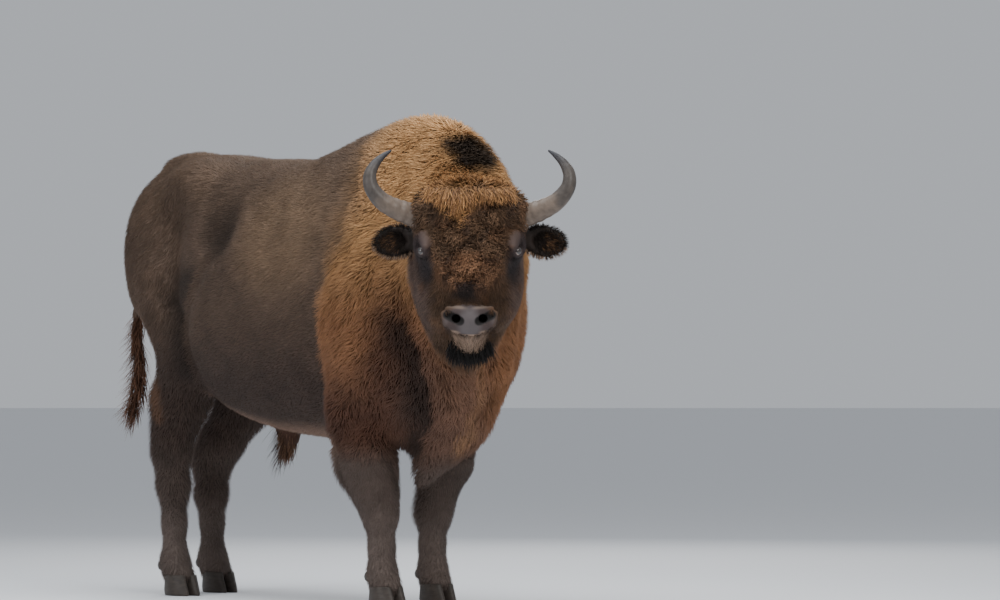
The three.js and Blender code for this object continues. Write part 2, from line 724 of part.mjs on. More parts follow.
for (const [name, side] of Object.entries(sides)) {
  const fore = FEET[`fore_${name}`];
  const hind = FEET[`hind_${name}`];
  const besideChest = side === RIGHT ? below(CHEST_RIGHT) : above(CHEST_LEFT);
  const thisHalf = side === RIGHT ? below(MIDDLE) : above(MIDDLE);
  const dewclaws = (foot) => both((across) => dewclaw(foot, across * DEWCLAW_SPREAD, GAP));
  add(`foreleg_${name}`, cut(
    fleshPart(BOXES.foreleg, besideChest, below(BELLY_CUT), above(CORONET)),
    ...dewclaws(fore),
  ), 'leg');
  add(`thigh_${name}`, cut(
    fleshPart(BOXES.thigh, thisHalf, below(FLANK), below(HAUNCH_TOP), above(THIGH_FOOT)),
    tail(GAP), tailTuft(GAP),
  ), 'flank');
  add(`hind_leg_${name}`, cut(
    fleshPart(BOXES.hind_leg, thisHalf, below(THIGH_FOOT), above(CORONET)),
    tailTuft(GAP), ...dewclaws(hind),
  ), 'leg');
  for (const [foot, where] of [[fore, 'fore'], [hind, 'hind']]) {
    for (const [across, place] of [[-side, 'inner'], [side, 'outer']]) {
      add(`hoof_${where}_${name}_${place}`, claw(foot, HOOF_AHEAD[where], across * CLAW_SPREAD), 'hoof');
      add(`dewclaw_${where}_${name}_${place}`, dewclaw(foot, across * DEWCLAW_SPREAD), 'hoof');
    }
  }
  add(`horn_${name}`, horn(side), 'horn');
  add(`ear_${name}`, ear(side), 'dark');
  add(`eye_${name}`, eye(side), 'eye');
}
add('sheath_tuft', sheath(), 'dark');
add('tail', tail().intersect(above(TUFT_TOP)), 'flank');
add('tail_tuft', tailTuft().intersect(below(TUFT_TOP)), 'dark');

// The origin is on the floor under the middle of the whole animal.
const extent = new THREE.Box3().setFromObject(bison);
bison.position.set(-(extent.min.x + extent.max.x) / 2, -(extent.min.y + extent.max.y) / 2, -extent.min.z);

export default bison;
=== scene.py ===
import json
import math

import bmesh
import bpy
import numpy as np
from mathutils import Matrix, Vector

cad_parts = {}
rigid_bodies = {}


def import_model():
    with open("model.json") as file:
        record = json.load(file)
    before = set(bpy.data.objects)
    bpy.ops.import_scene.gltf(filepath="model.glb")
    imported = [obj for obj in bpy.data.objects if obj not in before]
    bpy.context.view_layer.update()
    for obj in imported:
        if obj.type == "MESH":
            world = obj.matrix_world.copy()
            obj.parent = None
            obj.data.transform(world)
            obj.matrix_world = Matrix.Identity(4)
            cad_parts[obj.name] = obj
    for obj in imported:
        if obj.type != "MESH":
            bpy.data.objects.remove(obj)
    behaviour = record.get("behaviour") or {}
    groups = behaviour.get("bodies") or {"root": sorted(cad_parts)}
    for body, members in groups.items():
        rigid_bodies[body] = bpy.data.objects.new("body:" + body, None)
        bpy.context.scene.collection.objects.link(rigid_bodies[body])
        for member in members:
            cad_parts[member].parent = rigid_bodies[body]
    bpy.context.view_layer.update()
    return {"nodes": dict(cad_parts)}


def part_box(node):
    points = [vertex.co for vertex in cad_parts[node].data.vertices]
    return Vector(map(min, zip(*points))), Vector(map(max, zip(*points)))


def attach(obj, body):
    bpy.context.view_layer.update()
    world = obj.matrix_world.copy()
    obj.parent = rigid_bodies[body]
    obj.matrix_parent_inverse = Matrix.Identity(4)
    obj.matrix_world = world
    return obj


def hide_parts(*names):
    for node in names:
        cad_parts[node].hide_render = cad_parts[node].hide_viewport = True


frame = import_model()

# European bison bull in winter coat. Metres, +X the way the body faces, +Y its left, +Z up.
# The body is the same smooth field of named masses as the solids, here drawn finely: the skin lies
# inside it by the depth of the coat, and the tufts of the coat fill the space between.

LEFT, RIGHT = 1, -1
SIDES = {"right": RIGHT, "left": LEFT}

# ---------------------------------------------------------------- driving dimensions
HOOF_TOP = 0.078
FEET = {
    "fore_right": dict(side=RIGHT, x=0.052, y=0.150, forearm=1.08),
    "fore_left": dict(side=LEFT, x=-0.052, y=0.152, forearm=0.88),
    "hind_right": dict(side=RIGHT, x=-1.300, y=0.150, hock=0.575),
    "hind_left": dict(side=LEFT, x=-1.462, y=0.132, hock=0.530),
}
HEAD = dict(x=0.752, y=-0.277, z=1.268, yaw=-37.0, pitch=59.0)
BARREL = dict(
    x=[-1.330, -1.120, -1.000, -0.900, -0.700, -0.480, -0.300, -0.110, 0.120, 0.330],
    top=[1.640, 1.680, 1.664, 1.656, 1.652, 1.646, 1.684, 1.728, 1.720, 1.600],
    under=[0.880, 0.780, 0.706, 0.668, 0.626, 0.604, 0.598, 0.588, 0.580, 0.640],
    half=[0.235, 0.262, 0.325, 0.352, 0.372, 0.380, 0.378, 0.366, 0.325, 0.262],
)
EYE = dict(s=0.004, out=0.161, n=0.020, radius=0.0215)


# ---------------------------------------------------------------- small mathematics
def smooth(low, high, value):
    """0 below low, 1 above high, and a smooth rise between."""
    t = np.clip((value - low) / (high - low), 0.0, 1.0)
    return t * t * (3.0 - 2.0 * t)


def mix(a, b, t):
    return a + (b - a) * t


def melt(a, b, soft):
    """Smooth union of two distances: soft is how far the two surfaces melt together."""
    h = np.maximum(soft - np.abs(a - b), 0.0) / soft
    return np.minimum(a, b) - h * h * soft * 0.25


def carve(a, b, soft):
    """Smooth cut of b out of a."""
    return -melt(-a, b, soft)


def unit(v):
    return v / np.maximum(np.linalg.norm(v, axis=-1, keepdims=True), 1e-9)


def xyz(x, y, z):
    """Rows of three coordinates; a single number stands for the same one in every row."""
    return np.column_stack(np.broadcast_arrays(x, y, z))


def on_right(p):
    """The place with its left coordinate made negative."""
    return xyz(p[:, 0], -np.abs(p[:, 1]), p[:, 2])


def near(q, centre, radii, soft=0.35):
    """1 inside an ellipsoid round centre, falling to 0 over a share of its size."""
    r = np.linalg.norm((q - np.array(centre)) / np.array(radii), axis=1)
    return 1.0 - smooth(1.0 - soft, 1.0 + soft, r)


def disc(u, v, u0, v0, wide, high, soft):
    """1 inside an ellipse in two coordinates, falling to 0 over a share of its size."""
    r = np.hypot((u - u0) / wide, (v - v0) / high)
    return 1.0 - smooth(1.0 - soft, 1.0 + soft, r)


def both_sides(q):
    """The place with its left coordinate made positive, for things that come in pairs."""
    return xyz(q[:, 0], np.abs(q[:, 1]), q[:, 2])


CUBE = [(i, j, k) for i in (0, 1) for j in (0, 1) for k in (0, 1)]


def lattice(i, j, k, seed):
    """A number from -1 to 1 for each whole-numbered place."""
    h = i * 374761393 + j * 668265263 + k * 1440662683 + seed * 1013904223
    h = (h ^ (h >> 13)) * 1274126177
    h = h ^ (h >> 16)
    return (h & 0xFFFF) / 32767.5 - 1.0


def noise(p, size, seed):
    """Smooth noise from about -1 to 1, with lumps of that size in metres."""
    q = p / size
    cell = np.floor(q).astype(np.int64)
    t = q - cell
    t = t * t * (3.0 - 2.0 * t)
    value = np.zeros(len(p))
    for corner in CUBE:
        i, j, k = corner
        share = np.abs(1 - i - t[:, 0]) * np.abs(1 - j - t[:, 1]) * np.abs(1 - k - t[:, 2])
        value += share * lattice(*(cell + corner).T, seed)
    return value


def along(stations, key, x):
    """One quantity of a station list at x, on a cubic through the stations."""
    at = np.array(stations["x"])
    value = np.array(stations[key])
    slope = np.empty_like(value)
    slope[1:-1] = (value[2:] - value[:-2]) / (at[2:] - at[:-2])
    slope[0] = (value[1] - value[0]) / (at[1] - at[0])
    slope[-1] = (value[-1] - value[-2]) / (at[-1] - at[-2])
    u = np.clip(x, at[0], at[-1])
    i = np.clip(np.searchsorted(at, u, side="right") - 1, 0, len(at) - 2)
    width = at[i + 1] - at[i]
    t = (u - at[i]) / width
    t2, t3 = t * t, t * t * t
    return (
        (2 * t3 - 3 * t2 + 1) * value[i]
        + (t3 - 2 * t2 + t) * width * slope[i]
        + (3 * t2 - 2 * t3) * value[i + 1]
        + (t3 - t2) * width * slope[i + 1]
    )


# ---------------------------------------------------------------- primitive masses
def ellipsoid(centre, radii, yaw=0.0):
    """Ellipsoid turned by yaw about Z."""
    cos, sin = math.cos(math.radians(yaw)), math.sin(math.radians(yaw))
    turn = np.array([[cos, sin, 0.0], [-sin, cos, 0.0], [0.0, 0.0, 1.0]])
    centre, radii = np.array(centre), np.array(radii)

    def distance(p):
        q = (p - centre) @ turn.T
        k0 = np.linalg.norm(q / radii, axis=1)
        k1 = np.maximum(np.linalg.norm(q / radii**2, axis=1), 1e-6)
        return k0 * (k0 - 1.0) / k1

    return distance


def bone(a, b):
    """Cone with round ends, from a to b, each given as (x, y, z, radius)."""
    a, b = np.array(a), np.array(b)
    way = b[:3] - a[:3]

    def distance(p):
        q = p - a[:3]
        t = np.clip(q @ way / (way @ way), 0.0, 1.0)
        return np.linalg.norm(q - t[:, None] * way, axis=1) - mix(a[3], b[3], t)

    return distance


def barrel(p):
    """The ribs and belly: a loft of rounded sections, widest a little under their middle."""
    squareness, widest, core = 2.25, 0.46, 0.75
    x, y, z = p[:, 0], p[:, 1], p[:, 2]
    top, under, half = (along(BARREL, key, x) for key in ("top", "under", "half"))
    middle = mix(under, top, widest)
    high = np.where(z > middle, top - middle, middle - under)
    reach = (np.abs(y) / half) ** squareness + (np.abs(z - middle) / high) ** squareness
    reach = np.maximum(reach ** (1.0 / squareness), 1e-4)
    ray = np.hypot(y, z - middle)
    past = np.maximum(np.maximum(BARREL["x"][0] - x, x - BARREL["x"][-1]), 0.0)
    return np.maximum(ray * (1.0 - 1.0 / reach), -core * half) + past


def melted(masses, p):
    """Union of masses, each melted into the ones before it."""
    distance = masses[0][0](p)
    for mass, soft in masses[1:]:
        distance = melt(distance, mass(p), soft)
    return distance


# ---------------------------------------------------------------- the animal's masses
def trunk_masses():
    masses = [
        (barrel, 0.001),
        (ellipsoid((0.140, 0, 1.335), (0.462, 0.222, 0.458)), 0.090),  # hump
        (ellipsoid((-1.325, 0, 1.364), (0.278, 0.232, 0.306)), 0.100),  # croup
        (ellipsoid((-1.430, 0, 1.632), (0.130, 0.082, 0.050)), 0.100),  # tail head
        (ellipsoid((0.218, -0.028, 0.850), (0.225, 0.210, 0.318)), 0.110),  # brisket
        (ellipsoid((0.360, -0.055, 1.215), (0.285, 0.236, 0.385), -16), 0.120),  # base of the neck
        (ellipsoid((0.530, -0.142, 1.255), (0.225, 0.200, 0.275), -32), 0.120),  # throat and nape
        (bone((0.590, -0.170, 1.010, 0.120), (0.330, -0.035, 0.700, 0.130)), 0.120),  # dewlap
        (bone((0.330, -0.035, 0.700, 0.122), (0.158, -0.042, 0.478, 0.054)), 0.080),  # its fur
    ]
    for side in (LEFT, RIGHT):
        masses += [
            (ellipsoid((0.118, side * 0.200, 1.060), (0.240, 0.190, 0.320)), 0.110),  # shoulder
            (ellipsoid((-1.395, side * 0.118, 1.290), (0.190, 0.165, 0.300)), 0.090),  # buttock
            (ellipsoid((-1.105, side * 0.186, 1.556), (0.130, 0.090, 0.088)), 0.140),  # hip
        ]
    return masses


LIMB_ROOT_SOFT, LIMB_SOFT = 0.090, 0.040


def chain(joints):
    """Bones from joint to joint, each with how softly it melts into what comes before."""
    pairs = zip(joints[:-1], joints[1:])
    return [(bone(a, b), LIMB_SOFT if i else LIMB_ROOT_SOFT) for i, (a, b) in enumerate(pairs)]


def fore_leg(side, x, y, forearm):
    joints = [
        (0.100, side * 0.215, 0.900, 0.165),  # upper arm
        (-0.005, side * 0.214, 0.715, 0.138),  # elbow
        (0.008, side * 0.182, 0.520, 0.102 * forearm),  # forearm
        (mix(0.010, x, 0.7), side * 0.168, 0.420, 0.080 * forearm),
        (x, side * (y + 0.008), 0.335, 0.066),  # knee
        (x - 0.002, side * y, 0.215, 0.049),  # cannon
        (x + 0.002, side * y, 0.125, 0.056),  # fetlock
        (x + 0.026, side * y, HOOF_TOP - 0.005, 0.062),  # coronet
    ]
    return chain(joints)


def hind_leg(side, x, y, hock):
    joints = [
        (-1.265, side * 0.130, 1.180, 0.210),  # haunch
        (-1.125, side * 0.172, 0.900, 0.142),  # stifle
        (mix(-1.200, x, 0.35), side * 0.168, 0.735, 0.114),  # gaskin
        (mix(-1.200, x, 0.82), side * (y + 0.012), hock + 0.055, 0.088),
        (x - 0.010, side * (y + 0.006), hock - 0.025, 0.074),  # hock
        (x - 0.006, side * y, hock - 0.155, 0.061),
        (x, side * y, 0.270, 0.047),  # cannon
        (x + 0.004, side * y, 0.125, 0.057),  # fetlock
        (x + 0.036, side * y, HOOF_TOP - 0.005, 0.063),  # coronet
    ]
    point = ellipsoid((x - 0.062, side * (y + 0.004), hock), (0.042, 0.036, 0.066))
    return chain(joints) + [(point, LIMB_SOFT)]


def head_masses():
    """In the head's own frame: s down the face, y to the left, n out of the forehead."""
    masses = [
        (ellipsoid((-0.090, 0, -0.040), (0.165, 0.178, 0.140)), 0.001),  # skull
        (ellipsoid((-0.165, 0, 0.048), (0.118, 0.210, 0.104)), 0.060),  # crown of curly hair
        (ellipsoid((0.020, 0, 0.005), (0.150, 0.140, 0.085)), 0.050),  # forehead
        (bone((0.020, 0, -0.025, 0.105), (0.205, 0, -0.058, 0.074)), 0.045),  # bridge
        (ellipsoid((0.238, 0, -0.062), (0.066, 0.099, 0.074)), 0.030),  # muzzle
        (bone((0.060, 0, -0.175, 0.105), (0.255, 0, -0.118, 0.062)), 0.040),  # lower jaw
        (ellipsoid((0.268, 0, -0.150), (0.062, 0.074, 0.054)), 0.030),  # beard
    ]
    for side in (LEFT, RIGHT):
        masses += [
            (ellipsoid((0.045, side * 0.090, -0.135), (0.165, 0.098, 0.120)), 0.060),  # cheek
            (ellipsoid((-0.038, side * 0.150, -0.002), (0.062, 0.050, 0.055)), 0.040),  # brow
            (ellipsoid((-0.142, side * 0.168, 0.010), (0.050, 0.048, 0.050)), 0.040),  # horn root
        ]
    return masses


def rotation(degrees, axis):
    return Matrix.Rotation(math.radians(degrees), 3, axis)


HEAD_TURN = np.array(rotation(HEAD["yaw"], "Z") @ rotation(HEAD["pitch"], "Y"))
HEAD_PLACE = np.array((HEAD["x"], HEAD["y"], HEAD["z"]))


def in_head(p):
    return (p - HEAD_PLACE) @ HEAD_TURN


def from_head(q):
    return np.asarray(q) @ HEAD_TURN.T + HEAD_PLACE


TRUNK = trunk_masses()
LEGS = [(fore_leg if name.startswith("fore") else hind_leg)(**foot) for name, foot in FEET.items()]
SKULL = head_masses()


def flesh(p):
    """Distance to the smooth body, as the solids draw it."""
    distance = melt(melted(TRUNK, p), melted(SKULL, in_head(p)), 0.090)
    for leg in LEGS:
        distance = melt(distance, melted(leg, p), 0.070)
    return distance


# Folds on the right-hand side, as chains of (x, y, z, radius). The left side has the same.
FOLDS = [
    # In front of the thigh, where the belly bulges past it.
    [(-0.800, -0.370, 1.280, 0.010), (-0.850, -0.374, 1.210, 0.018), (-0.940, -0.362, 1.105, 0.024),
     (-1.010, -0.322, 1.010, 0.026), (-1.010, -0.304, 0.900, 0.024), (-0.985, -0.282, 0.840, 0.012)],
    # Across the thigh.
    [(-1.190, -0.326, 1.175, 0.004), (-1.132, -0.312, 1.121, 0.009), (-1.050, -0.306, 1.060, 0.008)],
    # Between the neck with its dewlap and the shoulder.
    [(0.405, -0.335, 1.120, 0.010), (0.432, -0.312, 1.037, 0.022), (0.462, -0.290, 0.930, 0.030),
     (0.452, -0.255, 0.824, 0.036), (0.414, -0.210, 0.710, 0.038), (0.335, -0.185, 0.610, 0.036),
     (0.225, -0.160, 0.555, 0.026)],
    # Behind the shoulder.
    [(-0.150, -0.412, 1.260, 0.003), (-0.200, -0.402, 1.080, 0.004)],
]
# The rear edge of the long fur: its x at each height.
CAPE_EDGE = dict(
    z=[0.55, 0.76, 0.90, 1.04, 1.15, 1.27, 1.47, 1.62, 1.76],
    x=[0.00, -0.06, -0.07, -0.076, -0.035, 0.024, 0.085, 0.060, 0.010],
)
CURL_SIZE = 0.024
CURL_HEIGHT = 0.011
CURL_SEED = 31  # the same lumps raise the skin, gather the tufts and carry a painted highlight on their tops with painted shade between
HIP_HOLLOW = ellipsoid((-0.770, -0.345, 1.425), (0.100, 0.060, 0.120))
FOREHEAD = ((0.000, 0.0, 0.070), (0.170, 0.118, 0.120), 0.20)


def past_cape(p):
    """How far in front of the rear edge of the long fur."""
    return p[:, 0] - np.interp(p[:, 2], CAPE_EDGE["z"], CAPE_EDGE["x"])


def chain_distance(stations, p):
    """Distance to a chain of cones through (x, y, z, radius) stations."""
    return np.min([bone(a, b)(p) for a, b in zip(stations[:-1], stations[1:])], axis=0)


def coat_surface(p):
    """Distance to the tips of the coat, with the folds that show through it."""
    m = on_right(p)
    distance = flesh(p)
    distance -= CURL_HEIGHT * near(in_head(p), *FOREHEAD) * noise(p, CURL_SIZE, CURL_SEED)
    distance = carve(distance, HIP_HOLLOW(m), 0.080)
    for fold in FOLDS:
        distance = carve(distance, chain_distance(fold, m), 0.046)
    edge = past_cape(p)
    step = smooth(0.030, -0.010, edge) * smooth(-0.220, -0.030, edge) * smooth(1.35, 1.10, p[:, 2])
    return distance + 0.014 * step * smooth(0.62, 0.70, p[:, 2])


# ---------------------------------------------------------------- where the coat is long or bare
HEADING = np.array((math.cos(math.radians(HEAD["yaw"])), math.sin(math.radians(HEAD["yaw"])), 0.0))
ASIDE = np.array((-HEADING[1], HEADING[0], 0.0))


# Ellipses in the view from the front of the face: out from its middle line, height, half width, half
# height and how softly they end.
PAD_DISC = (0.0, 1.034, 0.092, 0.054, 0.16)
CORNER_DISC = (0.062, 0.988, 0.024, 0.009, 0.5)
RIM_DISC = (0.052, 1.073, 0.036, 0.0065, 0.6)
LIP = dict(half=(0.066, 0.056), top=(0.986, 0.980), foot=0.940, bow=6.0)
CHIN = dict(half=(0.102, 0.088), top=(0.982, 0.972))


class Place:
    """What a set of points is near to: each mask runs from 0 to 1."""

    def __init__(self, p):
        self.p = p
        self.x, self.z = p[:, 0], p[:, 2]
        self.q = in_head(p)
        self.m = m = both_sides(self.q)
        forward = (p - HEAD_PLACE) @ HEADING
        self.head = smooth(-0.215, -0.135, forward) * smooth(0.80, 0.86, self.z)
        edge = past_cape(p) + 0.018 * noise(p, 0.070, 35)
        soft = mix(0.030, 0.150, smooth(1.12, 1.45, self.z))
        self.cape = smooth(-soft, soft, edge) * (1.0 - self.head)
        self.leg = smooth(0.64, 0.50, self.z)
        self.hind = smooth(-0.98, -1.12, self.x)
        self.chest = near(p, (0.300, -0.050, 0.600), (0.240, 0.150, 0.240)) * (1.0 - self.head)
        self.crown = near(self.q, (-0.215, 0.0, 0.080), (0.105, 0.230, 0.130)) * self.head
        self.forehead = near(self.q, *FOREHEAD) * self.head
        self.temple = near(m, (-0.135, 0.165, 0.030), (0.060, 0.075, 0.090), 0.25) * self.head
        self.eye_skin = near(m, (0.020, 0.182, 0.000), (0.105, 0.060, 0.072)) * self.head
        self.muzzle(forward)
        self.bare = np.max([self.eye_skin * 0.62, self.pad, self.lip * 0.20], axis=0)
        # Where the folds lie, for the painted shade in them.
        folds = np.min([chain_distance(fold, on_right(p)) for fold in FOLDS[:3]], axis=0)
        self.fold = smooth(0.030, -0.006, folds) * (1.0 - self.head)

    def muzzle(self, forward):
        """The bare pad, the rim over the nostrils, the pale lip and the dark chin."""
        p, z = self.p, self.z
        front = smooth(0.020, 0.060, forward) * self.head
        self.out = out = self.m[:, 1]
        self.pad = front * disc(out, z + 0.004 * noise(p, 0.012, 34), *PAD_DISC)
        self.corner = front * disc(out, z, *CORNER_DISC)
        self.rim = front * disc(out, z - 0.16 * out, *RIM_DISC)
        above = z - LIP["foot"] - LIP["bow"] * out**2 + 0.006 * noise(p, 0.008, 33)
        self.lip = front * smooth(*LIP["half"], out) * smooth(*LIP["top"], z)
        self.lip = self.lip * smooth(-0.008, 0.008, above)
        under = smooth(*CHIN["top"], z) * smooth(-0.06, -0.02, forward) * self.head
        self.chin = under * smooth(*CHIN["half"], out) * (1.0 - self.lip)


SHORT_COAT = 0.013
COAT_DEPTH = dict(
    cape=0.036, leg=0.009, chest=0.036, head=0.010, forehead=0.020,
    crown=0.044, temple=0.024, chin=0.026, bare=0.0015,
)


def coat_depth(at):
    """How far the skin lies below the tips of the coat."""
    depth = SHORT_COAT
    for part, deep in COAT_DEPTH.items():
        depth = mix(depth, deep, getattr(at, part))
    return depth


# ---------------------------------------------------------------- skin
EAR = dict(out=0.262, up=1.312, forward=-0.128, droop=8.0)
TAIL = [
    (-1.500, 0.000, 1.590, 0.028),
    (-1.585, -0.008, 1.518, 0.027),
    (-1.610, -0.040, 1.390, 0.023),
    (-1.612, -0.085, 1.240, 0.020),
    (-1.600, -0.118, 1.090, 0.019),
    (-1.592, -0.135, 0.930, 0.014),
]
TAIL_TUFT = [
    (-1.600, -0.118, 1.090, 0.022),
    (-1.592, -0.134, 0.980, 0.028),
    (-1.578, -0.134, 0.880, 0.040),
    (-1.578, -0.140, 0.790, 0.044),
    (-1.598, -0.158, 0.690, 0.034),
]
SHEATH = [
    (-0.745, 0.000, 0.670, 0.050),
    (-0.752, 0.000, 0.605, 0.040),
    (-0.766, -0.002, 0.560, 0.020),
]
FACING_AXES = np.column_stack((HEADING, ASIDE, (0, 0, 1)))


def facing(out, up, forward):
    """Place in the view from straight in front of the face: left, up, forward of the eyes."""
    flat = np.array((HEAD["x"], HEAD["y"], 0.0)) + forward * HEADING + out * ASIDE
    return flat + np.array((0.0, 0.0, up))


def ear_frame(p, side):
    """Coordinates of the ear: forward, out and up."""
    q = (p - facing(side * EAR["out"], EAR["up"], EAR["forward"])) @ FACING_AXES
    droop = math.radians(EAR["droop"])
    out = side * q[:, 1] * math.cos(droop) - q[:, 2] * math.sin(droop)
    up = side * q[:, 1] * math.sin(droop) + q[:, 2] * math.cos(droop)
    return xyz(q[:, 0], out, up)


def ears(p):
    """Distance to the two ears, each a leaf on a stem, with a dish cut into its front."""
    leaf = ellipsoid((0, 0, 0), (0.018, 0.076, 0.054))
    dish = ellipsoid((0.020, 0.012, 0.002), (0.024, 0.056, 0.039))
    stem = bone((-0.006, -0.110, 0.000, 0.034), (0.000, -0.050, 0.000, 0.026))

    def one(side):
        q = ear_frame(p, side)
        return carve(melt(leaf(q), stem(q), 0.020), dish(q), 0.010)

    return np.minimum(one(LEFT), one(RIGHT))


EYE_OUT = unit(np.array((0.10, 0.72, 0.69)))  # the way the left eye looks, in the head's frame


def eye_axes():
    """Along the slit of the eye, across it, and out of it."""
    slit = np.array((0.94, 0.0, 0.28))
    slit = unit(slit - EYE_OUT * (slit @ EYE_OUT))
    return np.array((slit, np.cross(EYE_OUT, slit), EYE_OUT))


EYE_CENTRE = np.array((EYE["s"], EYE["out"], EYE["n"]))
EYE_AXES = eye_axes()
MOUTH_POINT = np.array((0.308, 0.0, -0.058))
MOUTH_NORMAL = unit(np.array((-0.62, 0.0, 0.78)))
# The holes of one nostril, and how softly each cuts in.
NOSTRIL = [
    (bone((0.278, 0.036, -0.001, 0.0150), (0.246, 0.080, -0.008, 0.0135)), 0.004),
    (bone((0.266, 0.046, -0.004, 0.0145), (0.236, 0.046, -0.045, 0.0145)), 0.006),
]


def face_details(distance, m):
    """Sockets, lids, nostrils and mouth, cut in and laid on in the head's frame."""
    r = EYE["radius"]
    e = (m - EYE_CENTRE) @ EYE_AXES.T
    socket = ellipsoid((0.004, 0, 0.006), (r * 2.1, r * 1.5, r * 0.8))
    lids = np.linalg.norm(e, axis=1) - (r + 0.0032)
    slit = ellipsoid((0, -0.001, r), (r * 0.98, r * 0.52, r * 0.8))
    brow = bone((-0.045, 0.158, 0.036, 0.012), (0.005, 0.154, 0.052, 0.009))
    distance = carve(distance, socket(e), 0.024)
    distance = melt(distance, brow(m), 0.030)
    distance = melt(distance, lids, 0.013)
    distance = carve(distance, slit(e), 0.003)
    rim = bone((0.242, 0.026, 0.010, 0.006), (0.220, 0.076, -0.010, 0.008))
    wing = bone((0.232, 0.092, -0.024, 0.008), (0.268, 0.082, -0.036, 0.009))
    distance = melt(melt(distance, rim(m), 0.020), wing(m), 0.020)
    for hole, soft in NOSTRIL:
        distance = carve(distance, hole(m), soft)
    off = (m - MOUTH_POINT) @ MOUTH_NORMAL
    down_face, out, high = m.T
    groove = np.exp(-((off / 0.0045) ** 2)) * smooth(0.19, 0.22, down_face) * smooth(-0.19, -0.15, high)
    parting = np.exp(-((out / 0.004) ** 2)) * smooth(0.27, 0.29, down_face) * smooth(-0.062, -0.050, high)
    return distance + 0.005 * groove + 0.0015 * parting


SKIN_FOOT = HOOF_TOP - 0.012


def skin_surface(p):
    """Distance to the skin."""
    at = Place(p)
    distance = coat_surface(p) + coat_depth(at)
    wrinkles = 0.0024 * noise(at.m * (0.6, 1.0, 1.6), 0.012, 41) + 0.0012 * noise(at.m, 0.006, 42)
    distance = face_details(distance + wrinkles * at.eye_skin, at.m)
    distance = melt(distance, ears(p), 0.022)
    distance = melt(distance, chain_distance(TAIL, p), 0.014)
    distance = melt(distance, chain_distance(SHEATH, p), 0.040)
    return np.maximum(distance, SKIN_FOOT - p[:, 2])


def slopes(field, p, step=0.0008):
    """Value and gradient of a field."""
    value = field(p)
    slope = np.empty_like(p)
    for axis in range(3):
        moved = p.copy()
        moved[:, axis] += step
        slope[:, axis] = (field(moved) - value) / step
    return value, slope


def settle(field, p, reach, passes=3):
    """Moves points on to the zero surface, by at most reach in each pass."""
    for _ in range(passes):
        value, slope = slopes(field, p)
        steep = np.maximum((slope**2).sum(axis=1), 0.15)
        p = p - np.clip(value / steep, -reach, reach)[:, None] * slope
    return p


def sampled(field, low, cell, count):
    """The field on a grid, worked out only in blocks that the surface may cross."""
    block = 4
    blocks = -(-np.array(count) // block)
    value = np.full(blocks * block, 1.0, dtype=np.float32)
    centres = np.argwhere(np.ones(blocks, dtype=bool))
    at = low + (centres * block + (block - 1) / 2) * cell
    rough = field(at)
    inside = np.abs(rough) < 2.6 * block * cell
    shape = value.reshape(blocks[0], block, blocks[1], block, blocks[2], block)
    full = centres[~inside & (rough < 0)]
    shape[full[:, 0], :, full[:, 1], :, full[:, 2], :] = -1.0
    busy = centres[inside]
    steps = np.argwhere(np.ones((block,) * 3, dtype=bool))
    nodes = (busy[:, None, :] * block + steps[None]).reshape(-1, 3)
    value[nodes[:, 0], nodes[:, 1], nodes[:, 2]] = field(low + nodes * cell)
    return value


def polygonise(field, low, high, cell):
    """Quads of the zero surface: one point for each grid cell that it crosses."""
    low = np.array(low)
    count = np.ceil((np.array(high) - low) / cell).astype(int)
    value = sampled(field, low, cell, count)
    inside = value < 0
    size = np.array(value.shape) - 1
    total = np.zeros(size, dtype=np.int8)
    for i, j, k in CUBE:
        total += inside[i:i + size[0], j:j + size[1], k:k + size[2]]
    cells = np.argwhere((total > 0) & (total < 8))
    number = np.full(size, -1, dtype=np.int64)
    number[tuple(cells.T)] = np.arange(len(cells))
    points = np.zeros((len(cells), 3))
    crossings = np.zeros(len(cells))
    for axis in range(3):
        step = np.eye(3, dtype=int)[axis]
        for u, v in ((0, 0), (0, 1), (1, 0), (1, 1)):
            start = cells + np.roll((0, u, v), axis)
            a = value[tuple(start.T)].astype(float)
            b = value[tuple((start + step).T)].astype(float)
            cross = (a < 0) != (b < 0)
            t = np.where(cross, a / np.where(cross, a - b, 1.0), 0.0)
            points += np.where(cross[:, None], start + t[:, None] * step, 0.0)
            crossings += cross
    points = low + points / crossings[:, None] * cell
    quads = []
    for axis in range(3):
        step = np.eye(3, dtype=int)[axis]
        u, v = np.roll(step, 1), np.roll(step, 2)
        a = inside[: size[0], : size[1], : size[2]]
        ends = [slice(s, n + s) for s, n in zip(step, size)]
        edges = np.argwhere(a != inside[tuple(ends)])
        edges = edges[(edges - u - v >= 0).all(axis=1)]
        ring = [number[tuple((edges - i * u - j * v).T)] for i, j in ((0, 0), (1, 0), (1, 1), (0, 1))]
        ring = np.stack(ring, 1)
        outward = a[tuple(edges.T)]
        ring[~outward] = ring[~outward][:, ::-1]
        quads.append(ring)
    return points, np.concatenate(quads)


# ---------------------------------------------------------------- Blender helpers
def find_shift():
    """How far the row's origin is from the frame of this script: the eyes lie either side of the head."""
    middle = sum((np.add(*np.array(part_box(f"eye_{name}"))) / 2 for name in SIDES), np.zeros(3)) / 2
    return np.array(Vector(middle - from_head((EYE["s"], 0.0, EYE["n"]))))


SHIFT = find_shift()


def read(items, key, kind=np.float32):
    """Three numbers of each item of a mesh."""
    values = np.empty(len(items) * 3, dtype=kind)
    items.foreach_get(key, values)
    return values.reshape(-1, 3)


def vertices_of(mesh):
    """Vertices in the frame of this script."""
    return read(mesh.vertices, "co").astype(float) - SHIFT


def set_vertices(mesh, points):
    mesh.vertices.foreach_set("co", (points + SHIFT).astype(np.float32).ravel())


def triangles_of(obj):
    obj.data.calc_loop_triangles()
    return vertices_of(obj.data)[read(obj.data.loop_triangles, "vertices", np.int32)]


